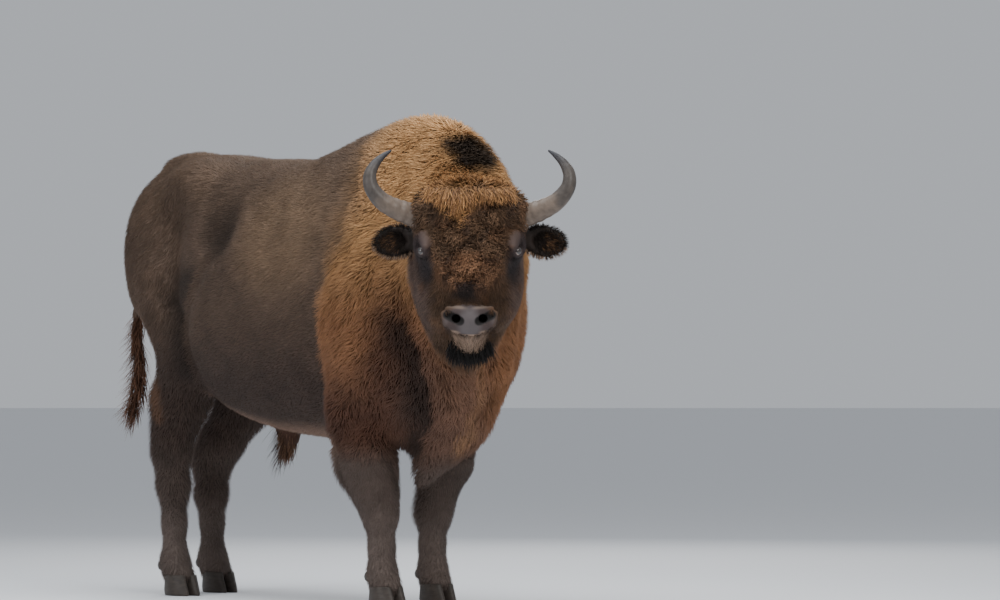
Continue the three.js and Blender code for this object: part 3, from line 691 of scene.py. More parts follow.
def mesh_object(name, points, faces, smooth_faces=True):
    """New object; points and faces are arrays, and all the faces have the same number of corners."""
    mesh = bpy.data.meshes.new(name)
    mesh.vertices.add(len(points))
    set_vertices(mesh, points)
    mesh.loops.add(faces.size)
    mesh.loops.foreach_set("vertex_index", faces.astype(np.int32).ravel())
    mesh.polygons.add(len(faces))
    mesh.polygons.foreach_set("loop_start", np.arange(0, faces.size, faces.shape[1], dtype=np.int32))
    mesh.polygons.foreach_set("use_smooth", np.full(len(faces), smooth_faces))
    mesh.update(calc_edges=True)
    obj = bpy.data.objects.new(name, mesh)
    bpy.context.scene.collection.objects.link(obj)
    return obj


def paint(obj, colours):
    """Gives each vertex its colour."""
    layer = obj.data.color_attributes.new("coat", "FLOAT_COLOR", "POINT")
    rows = np.column_stack((np.clip(colours, 0.0, 1.0), np.ones(len(colours))))
    layer.data.foreach_set("color", rows.astype(np.float32).ravel())


def painted(name, points, faces, colours, material):
    """New object with its colours and its material."""
    obj = mesh_object(name, points, faces)
    paint(obj, colours)
    obj.data.materials.append(material)
    return obj


def plain_material(name, roughness, shade=(0.8, 0.8, 0.8)):
    """New material, with its nodes, its links and its shader."""
    material = bpy.data.materials.new(name)
    material.use_nodes = True
    nodes = material.node_tree.nodes
    shader = nodes["Principled BSDF"]
    shader.inputs["Base Color"].default_value = (*shade, 1.0)
    shader.inputs["Roughness"].default_value = roughness
    return material, nodes, material.node_tree.links, shader


def coat_material(name, roughness):
    """Material that shows the painted colours."""
    material, nodes, links, shader = plain_material(name, roughness)
    shader.inputs["Specular IOR Level"].default_value = 0.22
    mark = nodes.new("ShaderNodeVertexColor")
    mark.layer_name = "coat"
    links.new(mark.outputs["Color"], shader.inputs["Base Color"])
    return material


# ---------------------------------------------------------------- skin mesh
def split_faces(obj, wanted):
    """Cuts the faces whose middles pass the test wanted(points)."""
    mesh = obj.data
    chosen = wanted(read(mesh.polygons, "center").astype(float) - SHIFT)
    bm = bmesh.new()
    bm.from_mesh(mesh)
    bm.faces.ensure_lookup_table()
    edges = {edge for i in np.flatnonzero(chosen) for edge in bm.faces[i].edges}
    bmesh.ops.subdivide_edges(bm, edges=list(edges), cuts=1, use_grid_fill=True)
    bm.to_mesh(mesh)
    bm.free()


def project(obj, field, reach, chosen):
    """Moves the chosen vertices of obj on to the field's surface."""
    points = vertices_of(obj.data)
    rows = np.flatnonzero(chosen(points))
    points[rows] = settle(field, points[rows], reach)
    set_vertices(obj.data, points)
    obj.data.update()


SKIN_CELL = 0.011
SKIN_BOX = ((-1.70, -0.66, 0.05), (1.18, 0.44, 1.83))
NOT_SKIN = ("hoof_", "dewclaw_", "horn_", "eye_")


def on_head(p):
    q = both_sides(in_head(p))
    return (q[:, 0] > -0.13) & (q[:, 2] > -0.20) & (q[:, 1] < 0.22)


def round_features(p):
    q = both_sides(in_head(p))
    eye = np.linalg.norm(q - EYE_CENTRE, axis=1) < 0.060
    return eye | ((q[:, 0] > 0.17) & (q[:, 2] > -0.145))


def build_skin():
    points, quads = polygonise(skin_surface, *SKIN_BOX, SKIN_CELL)
    skin = mesh_object("skin", settle(skin_surface, points, 0.004, 2), quads)
    split_faces(skin, on_head)
    split_faces(skin, round_features)
    project(skin, skin_surface, 0.003, on_head)
    return skin


# ---------------------------------------------------------------- studio
CAMERA = dict(place=(16.18, -11.77, 0.9), lens=198.0, heading=53.0, rise=0.61)
LIGHTS = [
    ("sky", (0.6, -0.8, 5.2), 5.0, 300.0, (0.93, 0.97, 1.0)),
    ("key", (5.4, -1.0, 3.8), 2.6, 150.0, (1.0, 0.98, 0.94)),
    ("fill", (0.6, -6.2, 2.6), 3.2, 90.0, (0.94, 0.97, 1.0)),
    ("back", (-4.0, 4.5, 3.6), 3.0, 100.0, (1.0, 0.98, 0.95)),
]
LIT_PLACE = Vector((0.0, 0.0, 1.0))


def placed(name, data, place, way):
    """Camera or lamp at a place, looking that way."""
    obj = bpy.data.objects.new(name, data)
    obj.location = place
    obj.rotation_euler = way.to_track_quat("-Z", "Y").to_euler()
    bpy.context.scene.collection.objects.link(obj)
    return obj


def add_camera():
    data = bpy.data.cameras.new("camera")
    data.lens, data.sensor_width = CAMERA["lens"], 36.0
    data.clip_end = 100.0
    heading, rise = math.radians(CAMERA["heading"]), math.radians(CAMERA["rise"])
    way = Vector((-math.sin(heading), math.cos(heading), math.tan(rise)))
    bpy.context.scene.camera = placed("camera", data, Vector(CAMERA["place"]) + Vector(SHIFT), way)


def add_studio():
    for name, place, size, power, hue in LIGHTS:
        data = bpy.data.lights.new(name, "AREA")
        data.shape, data.size, data.energy, data.color = "DISK", size, power, hue
        placed(name, data, place, LIT_PLACE - Vector(place))
    world = bpy.data.worlds.new("studio")
    world.use_nodes = True
    background = world.node_tree.nodes["Background"]
    background.inputs["Color"].default_value = (0.86, 0.90, 0.96, 1.0)
    background.inputs["Strength"].default_value = 0.55
    bpy.context.scene.world = world


def add_floor():
    half = 400.0
    corners = np.array([(-half, -half, 0), (half, -half, 0), (half, half, 0), (-half, half, 0)], float)
    floor = mesh_object("floor", corners - SHIFT, np.array([[0, 1, 2, 3]]), False)
    floor.data.materials.append(plain_material("floor", 0.75, (0.72, 0.73, 0.75))[0])


# ---------------------------------------------------------------- markings, painted shade and painted highlight
def colour(red, green, blue):
    """Linear colour from the 0-255 values that a colour chart gives."""
    c = np.array((red, green, blue)) / 255.0
    return np.where(c <= 0.04045, c / 12.92, ((c + 0.055) / 1.055) ** 2.4)


FLANK = colour(104, 84, 70)
RIBS = colour(146, 118, 92)
BACK = colour(108, 87, 71)
LOW_FLANK = colour(78, 62, 54)
TAN = colour(162, 130, 110)
GOLD = colour(184, 140, 94)
FORELOCK = colour(168, 124, 80)
RUST = colour(144, 101, 70)
UMBER = colour(86, 58, 45)
BEARD = colour(116, 86, 70)
DEWLAP = colour(106, 79, 66)
SHANK = colour(98, 83, 75)
SHIN = colour(116, 101, 93)
CURL = colour(94, 71, 53)
CURL_RUST = colour(118, 84, 60)
CHEEK = colour(102, 82, 72)
BARE = colour(62, 51, 50)
STREAK = colour(42, 35, 35)
NOSE = colour(66, 55, 53)
PAD = colour(86, 79, 79)
RIM = colour(112, 96, 85)
PALE = colour(160, 135, 116)
INK = colour(26, 23, 22)
HOLLOW_SHADE = colour(34, 26, 21)
EAR_BACK = colour(50, 39, 33)


# The rust-coloured rear edge of the thigh, and a painted highlight in gold along the lit right-hand edge of
# the dewlap.
THIGH_EDGE = [(-1.300, -0.285, 0.960, 0.020), (-1.235, -0.300, 0.790, 0.030), (-1.230, -0.280, 0.700, 0.020)]
DEWLAP_LIT_EDGE = [
    (0.655, -0.110, 0.900, 0.016), (0.545, -0.055, 0.753, 0.022),
    (0.479, -0.050, 0.646, 0.024), (0.393, -0.050, 0.555, 0.022),
]


# Shadowed hair on the rear side of two folds. ACROSS points to the right in the photo, and each fold has
# its place on that axis at some heights.
ACROSS = np.array((0.602, 0.799, 0.0))
NECK_FOLD = dict(
    z=[0.53, 0.558, 0.610, 0.710, 0.824, 0.930, 1.037, 1.107],
    across=[0.00, 0.029, 0.081, 0.110, 0.0925, 0.069, 0.026, -0.003],
)
THIGH_FOLD = dict(
    z=[0.80, 0.846, 0.902, 1.018, 1.119, 1.211, 1.285],
    across=[-0.790, -0.806, -0.832, -0.8437, -0.8355, -0.794, -0.759],
)


def beside(p, fold, wide):
    """1 just behind a fold, falling to 0 over that width, and 0 in front of it."""
    m = on_right(p)
    gap = m @ ACROSS - np.interp(p[:, 2], fold["z"], fold["across"])
    ends = smooth(0.0, 0.05, p[:, 2] - fold["z"][0]) * smooth(0.0, 0.08, fold["z"][-1] - p[:, 2])
    return smooth(0.006, -0.012, gap) * smooth(-wide, -0.2 * wide, gap) * ends


def tinted(base, *layers):
    """A colour with shades laid over it in turn, each by its share at each place."""
    for shade, share in layers:
        base = base + (shade - base) * share[:, None]
    return base


def mane_colour(at):
    p = at.p
    return tinted(
        RUST,
        (GOLD, smooth(1.00, 1.40, at.z)),
        (UMBER, smooth(1.00, 0.72, at.z) * smooth(0.42, 0.20, at.x)),
        (BEARD, at.chest * 0.8),
        # Painted shade in the hollow between the neck and the right shoulder.
        (UMBER, near(p, (0.300, -0.230, 0.850), (0.130, 0.130, 0.330), 0.5) * 0.9),
        (DEWLAP, near(p, (0.440, -0.140, 0.760), (0.220, 0.120, 0.300), 0.5) * 0.75),
        # Painted highlight along the lit right-hand edge of the dewlap.
        (GOLD, smooth(0.036, 0.004, chain_distance(DEWLAP_LIT_EDGE, p)) * 0.32),
        (INK, near(p + ragged_edge(p), (0.463, -0.033, 1.668), (0.130, 0.074, 0.110), 0.30) * 0.95),
    )


def ragged_edge(p):
    """Small shifts that make the edge of the dark patch on the hump uneven."""
    return xyz(0.018 * noise(p, 0.030, 6), 0.018 * noise(p, 0.030, 7), 0.030 * noise(p, 0.040, 8))


def face_colour(at):
    p, q, m = at.p, at.q, at.m
    fringe = 1.462 - 0.075 * np.exp(-(((q[:, 1] + 0.040) / 0.045) ** 2)) + 0.026 * noise(p, 0.022, 5)
    return tinted(
        CHEEK,
        (CURL, smooth(0.150, 0.115, m[:, 1] - 0.04 * smooth(0.0, -0.10, q[:, 0]))),
        (CURL_RUST, near(m, (0.100, 0.040, 0.060), (0.060, 0.085, 0.090)) * 0.75),
        (STREAK, near(q, (0.165, 0.0, 0.040), (0.030, 0.070, 0.060)) * 0.8),
        (FORELOCK, smooth(-0.012, 0.018, p[:, 2] - fringe)),
        (CURL, at.crown * smooth(0.05, 0.55, noise(p, 0.030, 61)) * 0.6),
        (CURL, at.temple * smooth(-0.16, -0.12, q[:, 0])),
        (CURL_RUST, smooth(0.10, 0.60, noise(p, 0.040, 71)) * 0.45),
        (STREAK, smooth(0.15, 0.70, noise(p, 0.032, 72)) * 0.45),
        (INK, at.chin * 0.94),
    )


def markings(at):
    """Colour of the coat over each place, which the skin under it carries too, with painted shade in the
    folds and hollows and a painted highlight on the dewlap's edge.
    """
    p, m = at.p, at.m
    belly = at.z - along(BARREL, "under", at.x)
    nostril = np.min([hole(m) for hole, _ in NOSTRIL], axis=0)
    c = tinted(
        FLANK,
        (BACK, smooth(1.30, 1.55, at.z)),
        (LOW_FLANK, smooth(1.10, 0.80, at.z)),
        (RIBS, near(p, (-0.320, -0.350, 1.360), (0.260, 0.500, 0.200), 0.6) * 0.75),
        (TAN, smooth(0.085, 0.025, belly) * smooth(-1.06, -0.98, at.x) * 0.75),
        # Painted shade in the hollow in front of the hip.
        (HOLLOW_SHADE, smooth(0.060, 0.0, HIP_HOLLOW(on_right(p))) * 0.70),
        (RUST, smooth(0.030, 0.0, chain_distance(THIGH_EDGE, p)) * 0.35),
        (mane_colour(at), at.cape),
        # Painted shade in the folds, and on the hair just behind the folds of the neck and the thigh.
        (INK, at.fold * 0.35),
        (INK, beside(p, NECK_FOLD, 0.17) * smooth(0.06, 0.14, at.x) * (p[:, 1] < 0.12) * 0.74),
        (INK, beside(p, THIGH_FOLD, 0.13) * smooth(-0.60, -0.72, at.x) * 0.58),
        (SHANK, at.leg),
        (SHIN, smooth(0.42, 0.24, at.z)),
        (face_colour(at), at.head),
        (BARE, at.eye_skin),
        (STREAK, near(m, (0.070, 0.158, -0.005), (0.055, 0.030, 0.050)) * at.head * 0.8),
        (NOSE, at.pad),
        (STREAK, at.pad * smooth(1.070, 1.085, at.z) * 0.6),
        (PAD, at.pad * disc(at.out, at.z, 0.0, 1.022, 0.040, 0.052, 0.35)),
        (PAD, at.pad * disc(at.out, at.z, 0.088, 1.045, 0.012, 0.030, 0.60) * 0.5),
        (RIM, at.rim * 0.75),
        (PALE, np.maximum(at.lip, at.corner * 0.70)),
        (INK, smooth(0.0065, 0.0005, nostril) * at.head),
        (EAR_BACK, smooth(0.012, 0.004, ears(p))),
        (UMBER, smooth(0.030, 0.006, chain_distance(SHEATH, p))),
    )
    patch = 1.0 + 0.14 * noise(p, 0.11, 3) + 0.12 * noise(p, 0.035, 4)
    return np.clip(c * patch[:, None], 0.0, 1.0)


# ---------------------------------------------------------------- lie of the coat
def lie(at):
    """The way that the hair points, not yet laid in the surface."""
    way = xyz(-1.0 + 0.45 * at.hind, 0.0, -0.30 - 1.3 * at.hind)
    down = xyz(-0.50 + 0.9 * smooth(0.25, 0.60, at.x), 0.0, -1.0)
    way = mix(way, down, at.cape[:, None])
    way = mix(way, np.array((-0.20, 0.0, -1.0)), at.leg[:, None])
    side = smooth(0.075, 0.130, at.out)
    face = xyz(mix(1.0, 0.45, side), 2.2 * at.q[:, 1], mix(-0.1, -1.0, side))
    fan = xyz(0.15 + 7.0 * (at.q[:, 0] + 0.200), 5.0 * at.q[:, 1], 0.35)
    face = mix(face, fan, (at.crown * (1.0 - at.forehead))[:, None])
    return mix(way, face @ HEAD_TURN.T, at.head[:, None])


# ---------------------------------------------------------------- tufts
MOST_TRIANGLES = 190000  # in one piece
CHART_WIDE, CHART_HIGH = 0.0015, 0.003  # the half width and the height of a tuft's patch in the UV map
PHASES = 6.28  # the waves of the tufts start anywhere in this angle
ROOT_DEPTH = 0.002


class Tufts:
    """Closed three-sided tapering locks, all with the same number of rings."""

    def __init__(self, rings):
        self.rings = rings
        self.points, self.colours, self.charts = [], [], []

    def faces(self, count):
        corner = [[3 * r + k for k in range(3)] for r in range(self.rings)]
        tip = 3 * self.rings
        one = [corner[0]]
        for below, above in zip(corner[:-1], corner[1:]):
            for i in range(3):
                j = (i + 1) % 3
                one += [[below[j], below[i], above[i]], [below[j], above[i], above[j]]]
        one += [[corner[-1][(i + 1) % 3], corner[-1][i], tip] for i in range(3)]
        return (np.arange(count)[:, None, None] * (tip + 1) + np.array(one)[None]).reshape(-1, 3)

    def add(self, centres, ways, normals, width, hue, chart):
        """centres, ways and normals: lists of arrays, one for each ring and one for the tip."""
        rows = []
        for r in range(self.rings):
            share = r / self.rings
            w = width * (0.75 + 0.9 * share) * (1.0 - share) ** 0.75
            across = unit(np.cross(ways[r], normals[r])) * w[:, None] * 0.5
            high = normals[r] * w[:, None] * 0.14
            rows += [centres[r] - across - high, centres[r] + across - high, centres[r] + high]
        rows.append(centres[-1])
        self.points.append(np.stack(rows, 1))
        # Painted shade: each tuft is darker towards its root, down in the coat, and lighter at its tip.
        shade = np.repeat(np.linspace(0.50, 1.05, self.rings), 3)
        shade = np.append(shade, 1.18)
        self.colours.append(hue[:, None, :] * shade[None, :, None])
        local = []
        for r in range(self.rings):
            local += [(k * CHART_WIDE, (r + (k == 1) * 0.4) * CHART_HIGH / self.rings) for k in (0, 2, 1)]
        local.append((CHART_WIDE, CHART_HIGH))
        self.charts.append(chart[:, None, :] + np.array(local)[None])

    def objects(self, name, slot, material):
        """Makes the objects, each of them with MOST_TRIANGLES or less."""
        points, colours, charts = (np.concatenate(part) for part in (self.points, self.colours, self.charts))
        each = MOST_TRIANGLES // (6 * self.rings - 2)
        number = -(-len(points) // each)
        for i, rows in enumerate(np.array_split(np.arange(len(points)), number)):
            faces = self.faces(len(rows))
            hues = colours[rows].reshape(-1, 3)
            obj = painted(f"{name}_{i + 1}", points[rows].reshape(-1, 3), faces, hues, material)
            chart = charts[rows].reshape(-1, 2)[faces.ravel()]
            layer = obj.data.uv_layers.new(name="OFBake")
            layer.data.foreach_set("uv", chart.astype(np.float32).ravel())
            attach(obj, "root")


def sown(triangles, density, rng):
    """Roots spread over triangles, density of them to the square metre at each triangle."""
    a, b, c = (triangles[:, i] for i in range(3))
    area = np.linalg.norm(np.cross(b - a, c - a), axis=1) / 2
    total = np.cumsum(area * density)
    count = int(total[-1])
    pick = np.searchsorted(total, (np.arange(count) + rng.random(count)) * total[-1] / count)
    pick = np.minimum(pick, len(triangles) - 1)
    u, v = rng.random(count), rng.random(count)
    over = u + v > 1.0
    u, v = np.where(over, 1 - u, u), np.where(over, 1 - v, v)
    a, b, c = a[pick], b[pick], c[pick]
    return a + (b - a) * u[:, None] + (c - a) * v[:, None]


def turned(way, normal, angle):
    """The way turned by an angle in the surface."""
    aside = np.cross(normal, way)
    return way * np.cos(angle)[:, None] + aside * np.sin(angle)[:, None]


def lay(tufts, roots, look_of, clump, lock_light_and_shade, rng):
    """Tufts that follow the lie of the coat, over the skin, up to the coat's outer surface.

    clump is the size of the locks that their tips gather into; the argument after it is how strongly the
    locks are painted lighter on top and darker between them, as painted highlight and painted shade."""
    at = Place(roots)
    count = len(roots)
    depth = coat_depth(at)
    length, width, lift, wander, wave = look_of(at)
    length = length * (0.75 + 0.5 * rng.random(count))
    width = width * (0.8 + 0.4 * rng.random(count))
    lift = lift * (0.6 + 0.4 * rng.random(count))
    angle = wander * (noise(roots, 0.060, 11) + 0.5 * noise(roots, 0.028, 12)) + 0.14 * rng.normal(size=count)
    gather = slopes(lambda p: noise(p, clump, CURL_SEED), roots, 0.1 * clump)[1] * clump
    phase = rng.random(count) * PHASES
    flow = lie(at)
    centres, ways, normals = [], [], []
    c = roots
    for ring in range(tufts.rings + 1):
        share = ring / tufts.rings
        value, slope = slopes(coat_surface, c)
        normal = unit(slope)
        if ring == 0:
            c = c - ROOT_DEPTH * normal
        else:
            level = -depth * (1.0 - lift * share**0.8)
            c = c - (value - level)[:, None] * normal
        flow = flow + 0.45 * share * gather * np.linalg.norm(flow, axis=1, keepdims=True)
        way = unit(flow - normal * (flow * normal).sum(axis=1)[:, None])
        way = turned(way, normal, angle + wave * np.sin(phase + 5.0 * share))
        centres.append(c)
        ways.append(way)
        normals.append(normal)
        c = c + way * (length / tufts.rings)[:, None]
    # Random tone of each tuft, then a painted highlight on top of the gathered locks and painted shade
    # between them.
    uneven = (0.10 + 0.12 * at.head) * rng.normal(size=count).clip(-1.6, 1.6)
    bright = 1.0 + uneven + lock_light_and_shade * noise(roots, clump, CURL_SEED)
    tufts.add(centres, ways, normals, width, markings(at) * bright[:, None], chart_of(roots))


def chart_of(p):
    """Place on a roll-out of the body: along it, and round it."""
    u = (p[:, 0] + 1.75) / 3.0
    v = np.arctan2(p[:, 1], p[:, 2] - 1.10) / (2 * math.pi) + 0.5
    return np.column_stack((0.01 + 0.975 * u, 0.01 + 0.975 * v))


# Each look gives the length, width, lift, wander and wave of its tufts.
def body_look(at):
    shaggy = at.hind * smooth(0.95, 0.75, at.z)
    return 0.028 + 0.006 * shaggy, 0.0058, 0.95 + 0.9 * shaggy, 0.30, 0.0


def mane_look(at):
    return 0.040 + 0.022 * at.chest, 0.0056, 1.0, 0.70, 0.35


def leg_look(at):
    behind_knee = smooth(0.01, -0.07, at.x) * smooth(-0.6, -0.4, at.x)
    fringe = smooth(0.24, 0.40, at.z) * np.maximum(behind_knee, at.hind * 0.5)
    fetlock = smooth(0.135, 0.095, at.z)
    length = 0.018 + 0.026 * fringe + 0.018 * fetlock
    return length, 0.0042 + 0.0010 * fringe, 1.0 + 2.4 * fringe + 0.5 * fetlock, 0.25, 0.0


def face_look(at):
    return 0.022, 0.0042, 1.4, 0.45, 0.0


def curl_look(at):
    long = np.max([at.crown, at.chin, at.temple], axis=0)
    return mix(0.028, 0.044, long), mix(0.0054, 0.0060, long), 1.15, mix(2.4, 0.6, long), mix(1.6, 0.6, long)


def hang(tufts, roots, ways, length, width, weight, hue, rng):
    """Free strands that start along ways and droop by weight over their length."""
    count = len(roots)
    way = unit(ways + 0.18 * rng.normal(size=roots.shape))
    length = length * (0.7 + 0.6 * rng.random(count))
    width = width * (0.8 + 0.4 * rng.random(count))
    phase = rng.random(count) * PHASES
    centres, directions, normals = [], [], []
    c = roots
    for ring in range(tufts.rings + 1):
        share = ring / tufts.rings
        normal = unit(np.cross(way, np.cross((0.0, 0.0, 1.0) + 0.01 * way, way)) + 1e-6)
        centres.append(c)
        directions.append(turned(way, normal, 0.25 * np.sin(phase + 4.0 * share)))
        normals.append(normal)
        c = c + directions[-1] * (length / tufts.rings)[:, None]
        way = unit(way + np.array((0.0, 0.0, -weight)) / tufts.rings)
    bright = 1.0 + 0.20 * rng.normal(size=count).clip(-1.6, 1.6)
    tufts.add(centres, directions, normals, width, hue * bright[:, None], chart_of(roots))


def in_ball(count, rng):
    """Places in a ball of radius 1."""
    way = unit(rng.normal(size=(count, 3)))
    return way * rng.random(count)[:, None] ** 0.5


def along_chain(stations, share):
    """Centre, radius and way on a chain of (x, y, z, radius) stations; share runs from 0 to 1."""
    rows = np.array(stations)
    at = share * (len(rows) - 1)
    i = np.clip(at.astype(int), 0, len(rows) - 2)
    t = (at - i)[:, None]
    spot = rows[i] * (1 - t) + rows[i + 1] * t
    return spot[:, :3], spot[:, 3], unit(rows[i + 1, :3] - rows[i, :3])


def add_tail_hair(fur, rng):
    """The wispy tuft, whose longest strands the wind lifts to the rear, and short hair on the tail."""
    strands = Tufts(3)
    centre, radius, way = along_chain(TAIL_TUFT, rng.random(1300) ** 0.9)
    ball = in_ball(len(centre), rng)
    blown = (rng.random(len(centre)) < 0.30)[:, None] * np.array((-0.50, -0.70, 0.10))
    hue = colour(120, 84, 64) * rng.uniform(0.5, 1.1, len(centre))[:, None]
    roots = centre + (0.014, 0.0, 0.0) + ball * (radius * 0.7)[:, None]
    hang(strands, roots, way + 0.08 * ball + blown, 0.080, 0.0034, 0.4, hue, rng)
    centre, radius, way = along_chain(TAIL, rng.random(1500))
    ball = unit(rng.normal(size=centre.shape))
    roots = centre + ball * (radius * 0.9)[:, None]
    hang(strands, roots, way + 0.12 * ball, 0.040, 0.0042, 0.3, colour(88, 68, 55), rng)
    strands.objects("tail_hair", "dark_hair", fur)


def add_sheath_hair(fur, rng):
    """The tuft under the belly, with some longer and darker strands."""
    strands = Tufts(3)
    centre, radius, _ = along_chain(SHEATH, rng.random(900) ** 1.4)
    ball = in_ball(len(centre), rng)
    long = rng.random(len(centre)) < 0.25
    hue = np.where(long[:, None], colour(62, 47, 39), colour(116, 86, 66))
    swing = np.array((-0.20, -0.15, -1.0)) + 0.14 * ball - 0.25 * long[:, None] * np.array((1.0, 0.8, 0))
    roots = centre + ball * (radius * 0.9)[:, None]
    hang(strands, roots, swing, np.where(long, 0.100, 0.060), 0.0038, 0.4, hue, rng)
    strands.objects("sheath_hair", "dark_hair", fur)


BEARD_PLACE = np.array((0.284, 0.0, -0.150))


def add_face_hair(fur, rng):
    """Forelock over the curls, and the dark beard of the chin, which leaves the lip free."""
    strands = Tufts(4)
    count = 700
    across = rng.random(count)
    roots = xyz(-0.185 + 0.040 * rng.random(count), -0.150 + 0.30 * across, 0.130 + 0.022 * rng.random(count))
    ways = xyz(1.0, 4.0 * (roots[:, 1] + 0.02), 0.10) + 0.22 * rng.normal(size=(count, 3))
    length = mix(0.040, 0.090, np.exp(-(((roots[:, 1] + 0.045) / 0.045) ** 2)))
    hue = tinted(FORELOCK * 1.15, (CURL_RUST, rng.random(count) ** 2))
    hang(strands, from_head(roots), ways @ HEAD_TURN.T, length, 0.0040, 0.35, hue, rng)
    roots = BEARD_PLACE + in_ball(1300, rng) * np.array((0.040, 0.080, 0.046))
    roots = roots[np.hypot(roots[:, 1] / 0.058, (roots[:, 2] + 0.090) / 0.034) > 1.0]
    ways = ((0.75, 0.0, -0.6) + 0.4 * ((roots - BEARD_PLACE) / 0.08)) @ HEAD_TURN.T
    hang(strands, from_head(roots), ways, 0.046, 0.0055, 0.5, INK, rng)
    strands.objects("face_hair", "face_coat", fur)


def from_ear(q, side):
    """From the ear's own frame, forward, out and up, to the frame of this script."""
    droop = math.radians(EAR["droop"])
    out = q[:, 1] * math.cos(droop) + q[:, 2] * math.sin(droop)
    up = -q[:, 1] * math.sin(droop) + q[:, 2] * math.cos(droop)
    flat = xyz(q[:, 0], side * out, up) @ FACING_AXES.T
    return flat + facing(side * EAR["out"], EAR["up"], EAR["forward"])


def add_ear_hair(name, side, fur, rng):
    """Dark hair in the dish with brown strands in it, a pale fringe under the rim, short hair behind."""
    dark, brown, pale = colour(46, 38, 33), colour(122, 90, 64), colour(150, 124, 104)
    strands = Tufts(2)

    def grow(spots, ways, length, width, hue):
        turn = from_ear(ways, side) - from_ear(np.zeros((1, 3)), side)
        hang(strands, from_ear(spots, side), turn, length, width, 0.25, hue, rng)

    angle = rng.random(900) * 2 * math.pi
    cos, sin = np.cos(angle), np.sin(angle)
    rim = xyz(0.006 * rng.normal(size=900), 0.072 * cos, 0.050 * sin)
    way = xyz(0.3 * rng.normal(size=900), cos + 0.5, sin - 0.25)
    low = (sin < -0.1) & (rng.random(900) < 0.7)
    grow(rim, way, 0.018, 0.0034, np.where(low[:, None], pale, dark))
    grow(rim, xyz(0.25, -cos + 0.6, -sin), 0.024, 0.0038, dark)
    out, up = in_ball(1200, rng)[:, 1:].T
    inner = xyz(0.004 + 0.004 * rng.random(1200), 0.008 + 0.056 * out, 0.038 * up)
    rusty = (out > -0.35) & (rng.random(1200) < 0.28)
    way = xyz(0.30, 0.9 + 0.5 * out, 0.6 * up - 0.3)
    grow(inner, way, 0.024, 0.0034, np.where(rusty[:, None], brown, dark))
    out, up = in_ball(1500, rng)[:, 1:].T
    rise = np.sqrt(1.0 - np.minimum(out**2 + up**2, 1.0))
    back = xyz(-0.017 * rise, 0.074 * out - 0.008, 0.052 * up)
    grow(back, xyz(-0.12, 1.0, 0.4 * up), 0.020, 0.0044, colour(74, 57, 47))
    strands.objects(f"ear_hair_{name}", "dark_hair", fur)


LEG_TOP = 0.57
CLEAR_OF_TAIL_AND_EARS = 0.012


def add_coat(triangles):
    """All the tufts: those laid over the skin, and then the free strands."""
    rng = np.random.default_rng(7)
    at = Place(triangles.mean(axis=1))
    clear = np.minimum(ears(at.p), chain_distance(TAIL + TAIL_TUFT, at.p)) >= CLEAR_OF_TAIL_AND_EARS
    on_face = at.head > 0.5
    curls = on_face & (np.max([at.forehead, at.crown, at.chin, at.temple], axis=0) > 0.4)
    ragged = noise(at.p, 0.060, 82)
    legs = ~on_face & (at.z + 0.05 * ragged < LEG_TOP) & (at.chest < 0.3)
    cape = ~on_face & ~legs & (at.cape + 0.2 * ragged > 0.4)
    body = ~on_face & ~legs & ~cape
    fur = coat_material("fur", 0.68)
    # Name, where it grows, tufts to the square metre, rings, look, size of its locks, strength of the painted
    # highlight and shade on the locks, and slot.
    kinds = [
        ("coat_body", body, 18200, 1, body_look, 0.018, 0.16, "body_coat"),
        ("coat_mane", cape, 30000, 2, mane_look, 0.026, 0.15, "mane_coat"),
        ("coat_legs", legs, 38000, 1, leg_look, 0.014, 0.16, "leg_coat"),
        ("coat_face", on_face & ~curls, 68000, 1, face_look, 0.014, 0.30, "face_coat"),
        ("coat_curls", curls, 38000, 4, curl_look, CURL_SIZE, 0.58, "face_coat"),
    ]
    for name, where, density, rings, look_of, clump, lock_light_and_shade, slot in kinds:
        tufts = Tufts(rings)
        roots = sown(triangles, density * where * clear * (1.0 - at.bare), rng)
        lay(tufts, roots, look_of, clump, lock_light_and_shade, rng)
        tufts.objects(name, slot, fur)
    add_tail_hair(fur, rng)
    add_sheath_hair(fur, rng)
    add_face_hair(fur, rng)
    for name, side in SIDES.items():
        add_ear_hair(name, side, fur, rng)


# ---------------------------------------------------------------- horns and eyes
HORN = [
    (0.150, 1.385, -0.075, 0.0450),
    (0.203, 1.405, -0.062, 0.0412),
    (0.255, 1.423, -0.040, 0.0365),
    (0.306, 1.451, -0.018, 0.0315),
    (0.343, 1.497, -0.008, 0.0265),
    (0.349, 1.542, -0.012, 0.0225),
    (0.332, 1.580, -0.022, 0.0170),
    (0.305, 1.609, -0.033, 0.0107),
    (0.277, 1.629, -0.040, 0.0040),
]


def spline(stations, share):
    """Catmull-Rom curve through stations; share runs from 0 to 1."""
    rows = np.array(stations)
    rows = np.vstack((2 * rows[0] - rows[1], rows, 2 * rows[-1] - rows[-2]))
    at = share * (len(stations) - 1)
    i = np.clip(at.astype(int), 0, len(stations) - 2)
    t = (at - i)[:, None]
    a, b, c, d = (rows[i + k] for k in range(4))
    return 0.5 * (2 * b + (c - a) * t + (2 * a - 5 * b + 4 * c - d) * t**2 + (3 * b - a - 3 * c + d) * t**3)


def circle(sides):
    """Cosine and sine of the angle of each side, as rows."""
    angle = np.arange(sides) * 2 * math.pi / sides
    return np.cos(angle)[None], np.sin(angle)[None]


def tube_faces(steps, sides):
    """Triangles of a tube of rings, closed at each end by a point that follows the rings."""
    i, j = np.meshgrid(np.arange(steps - 1), np.arange(sides), indexing="ij")
    k = (j + 1) % sides
    a, b, c, d = i * sides + j, i * sides + k, (i + 1) * sides + k, (i + 1) * sides + j
    wall = [np.stack((a, b, c), -1).reshape(-1, 3), np.stack((a, c, d), -1).reshape(-1, 3)]
    root, tip, last = steps * sides, steps * sides + 1, (steps - 1) * sides
    j, k = j[0], k[0]
    return np.concatenate(wall + [xyz(root, k, j), xyz(tip, last + j, last + k)])


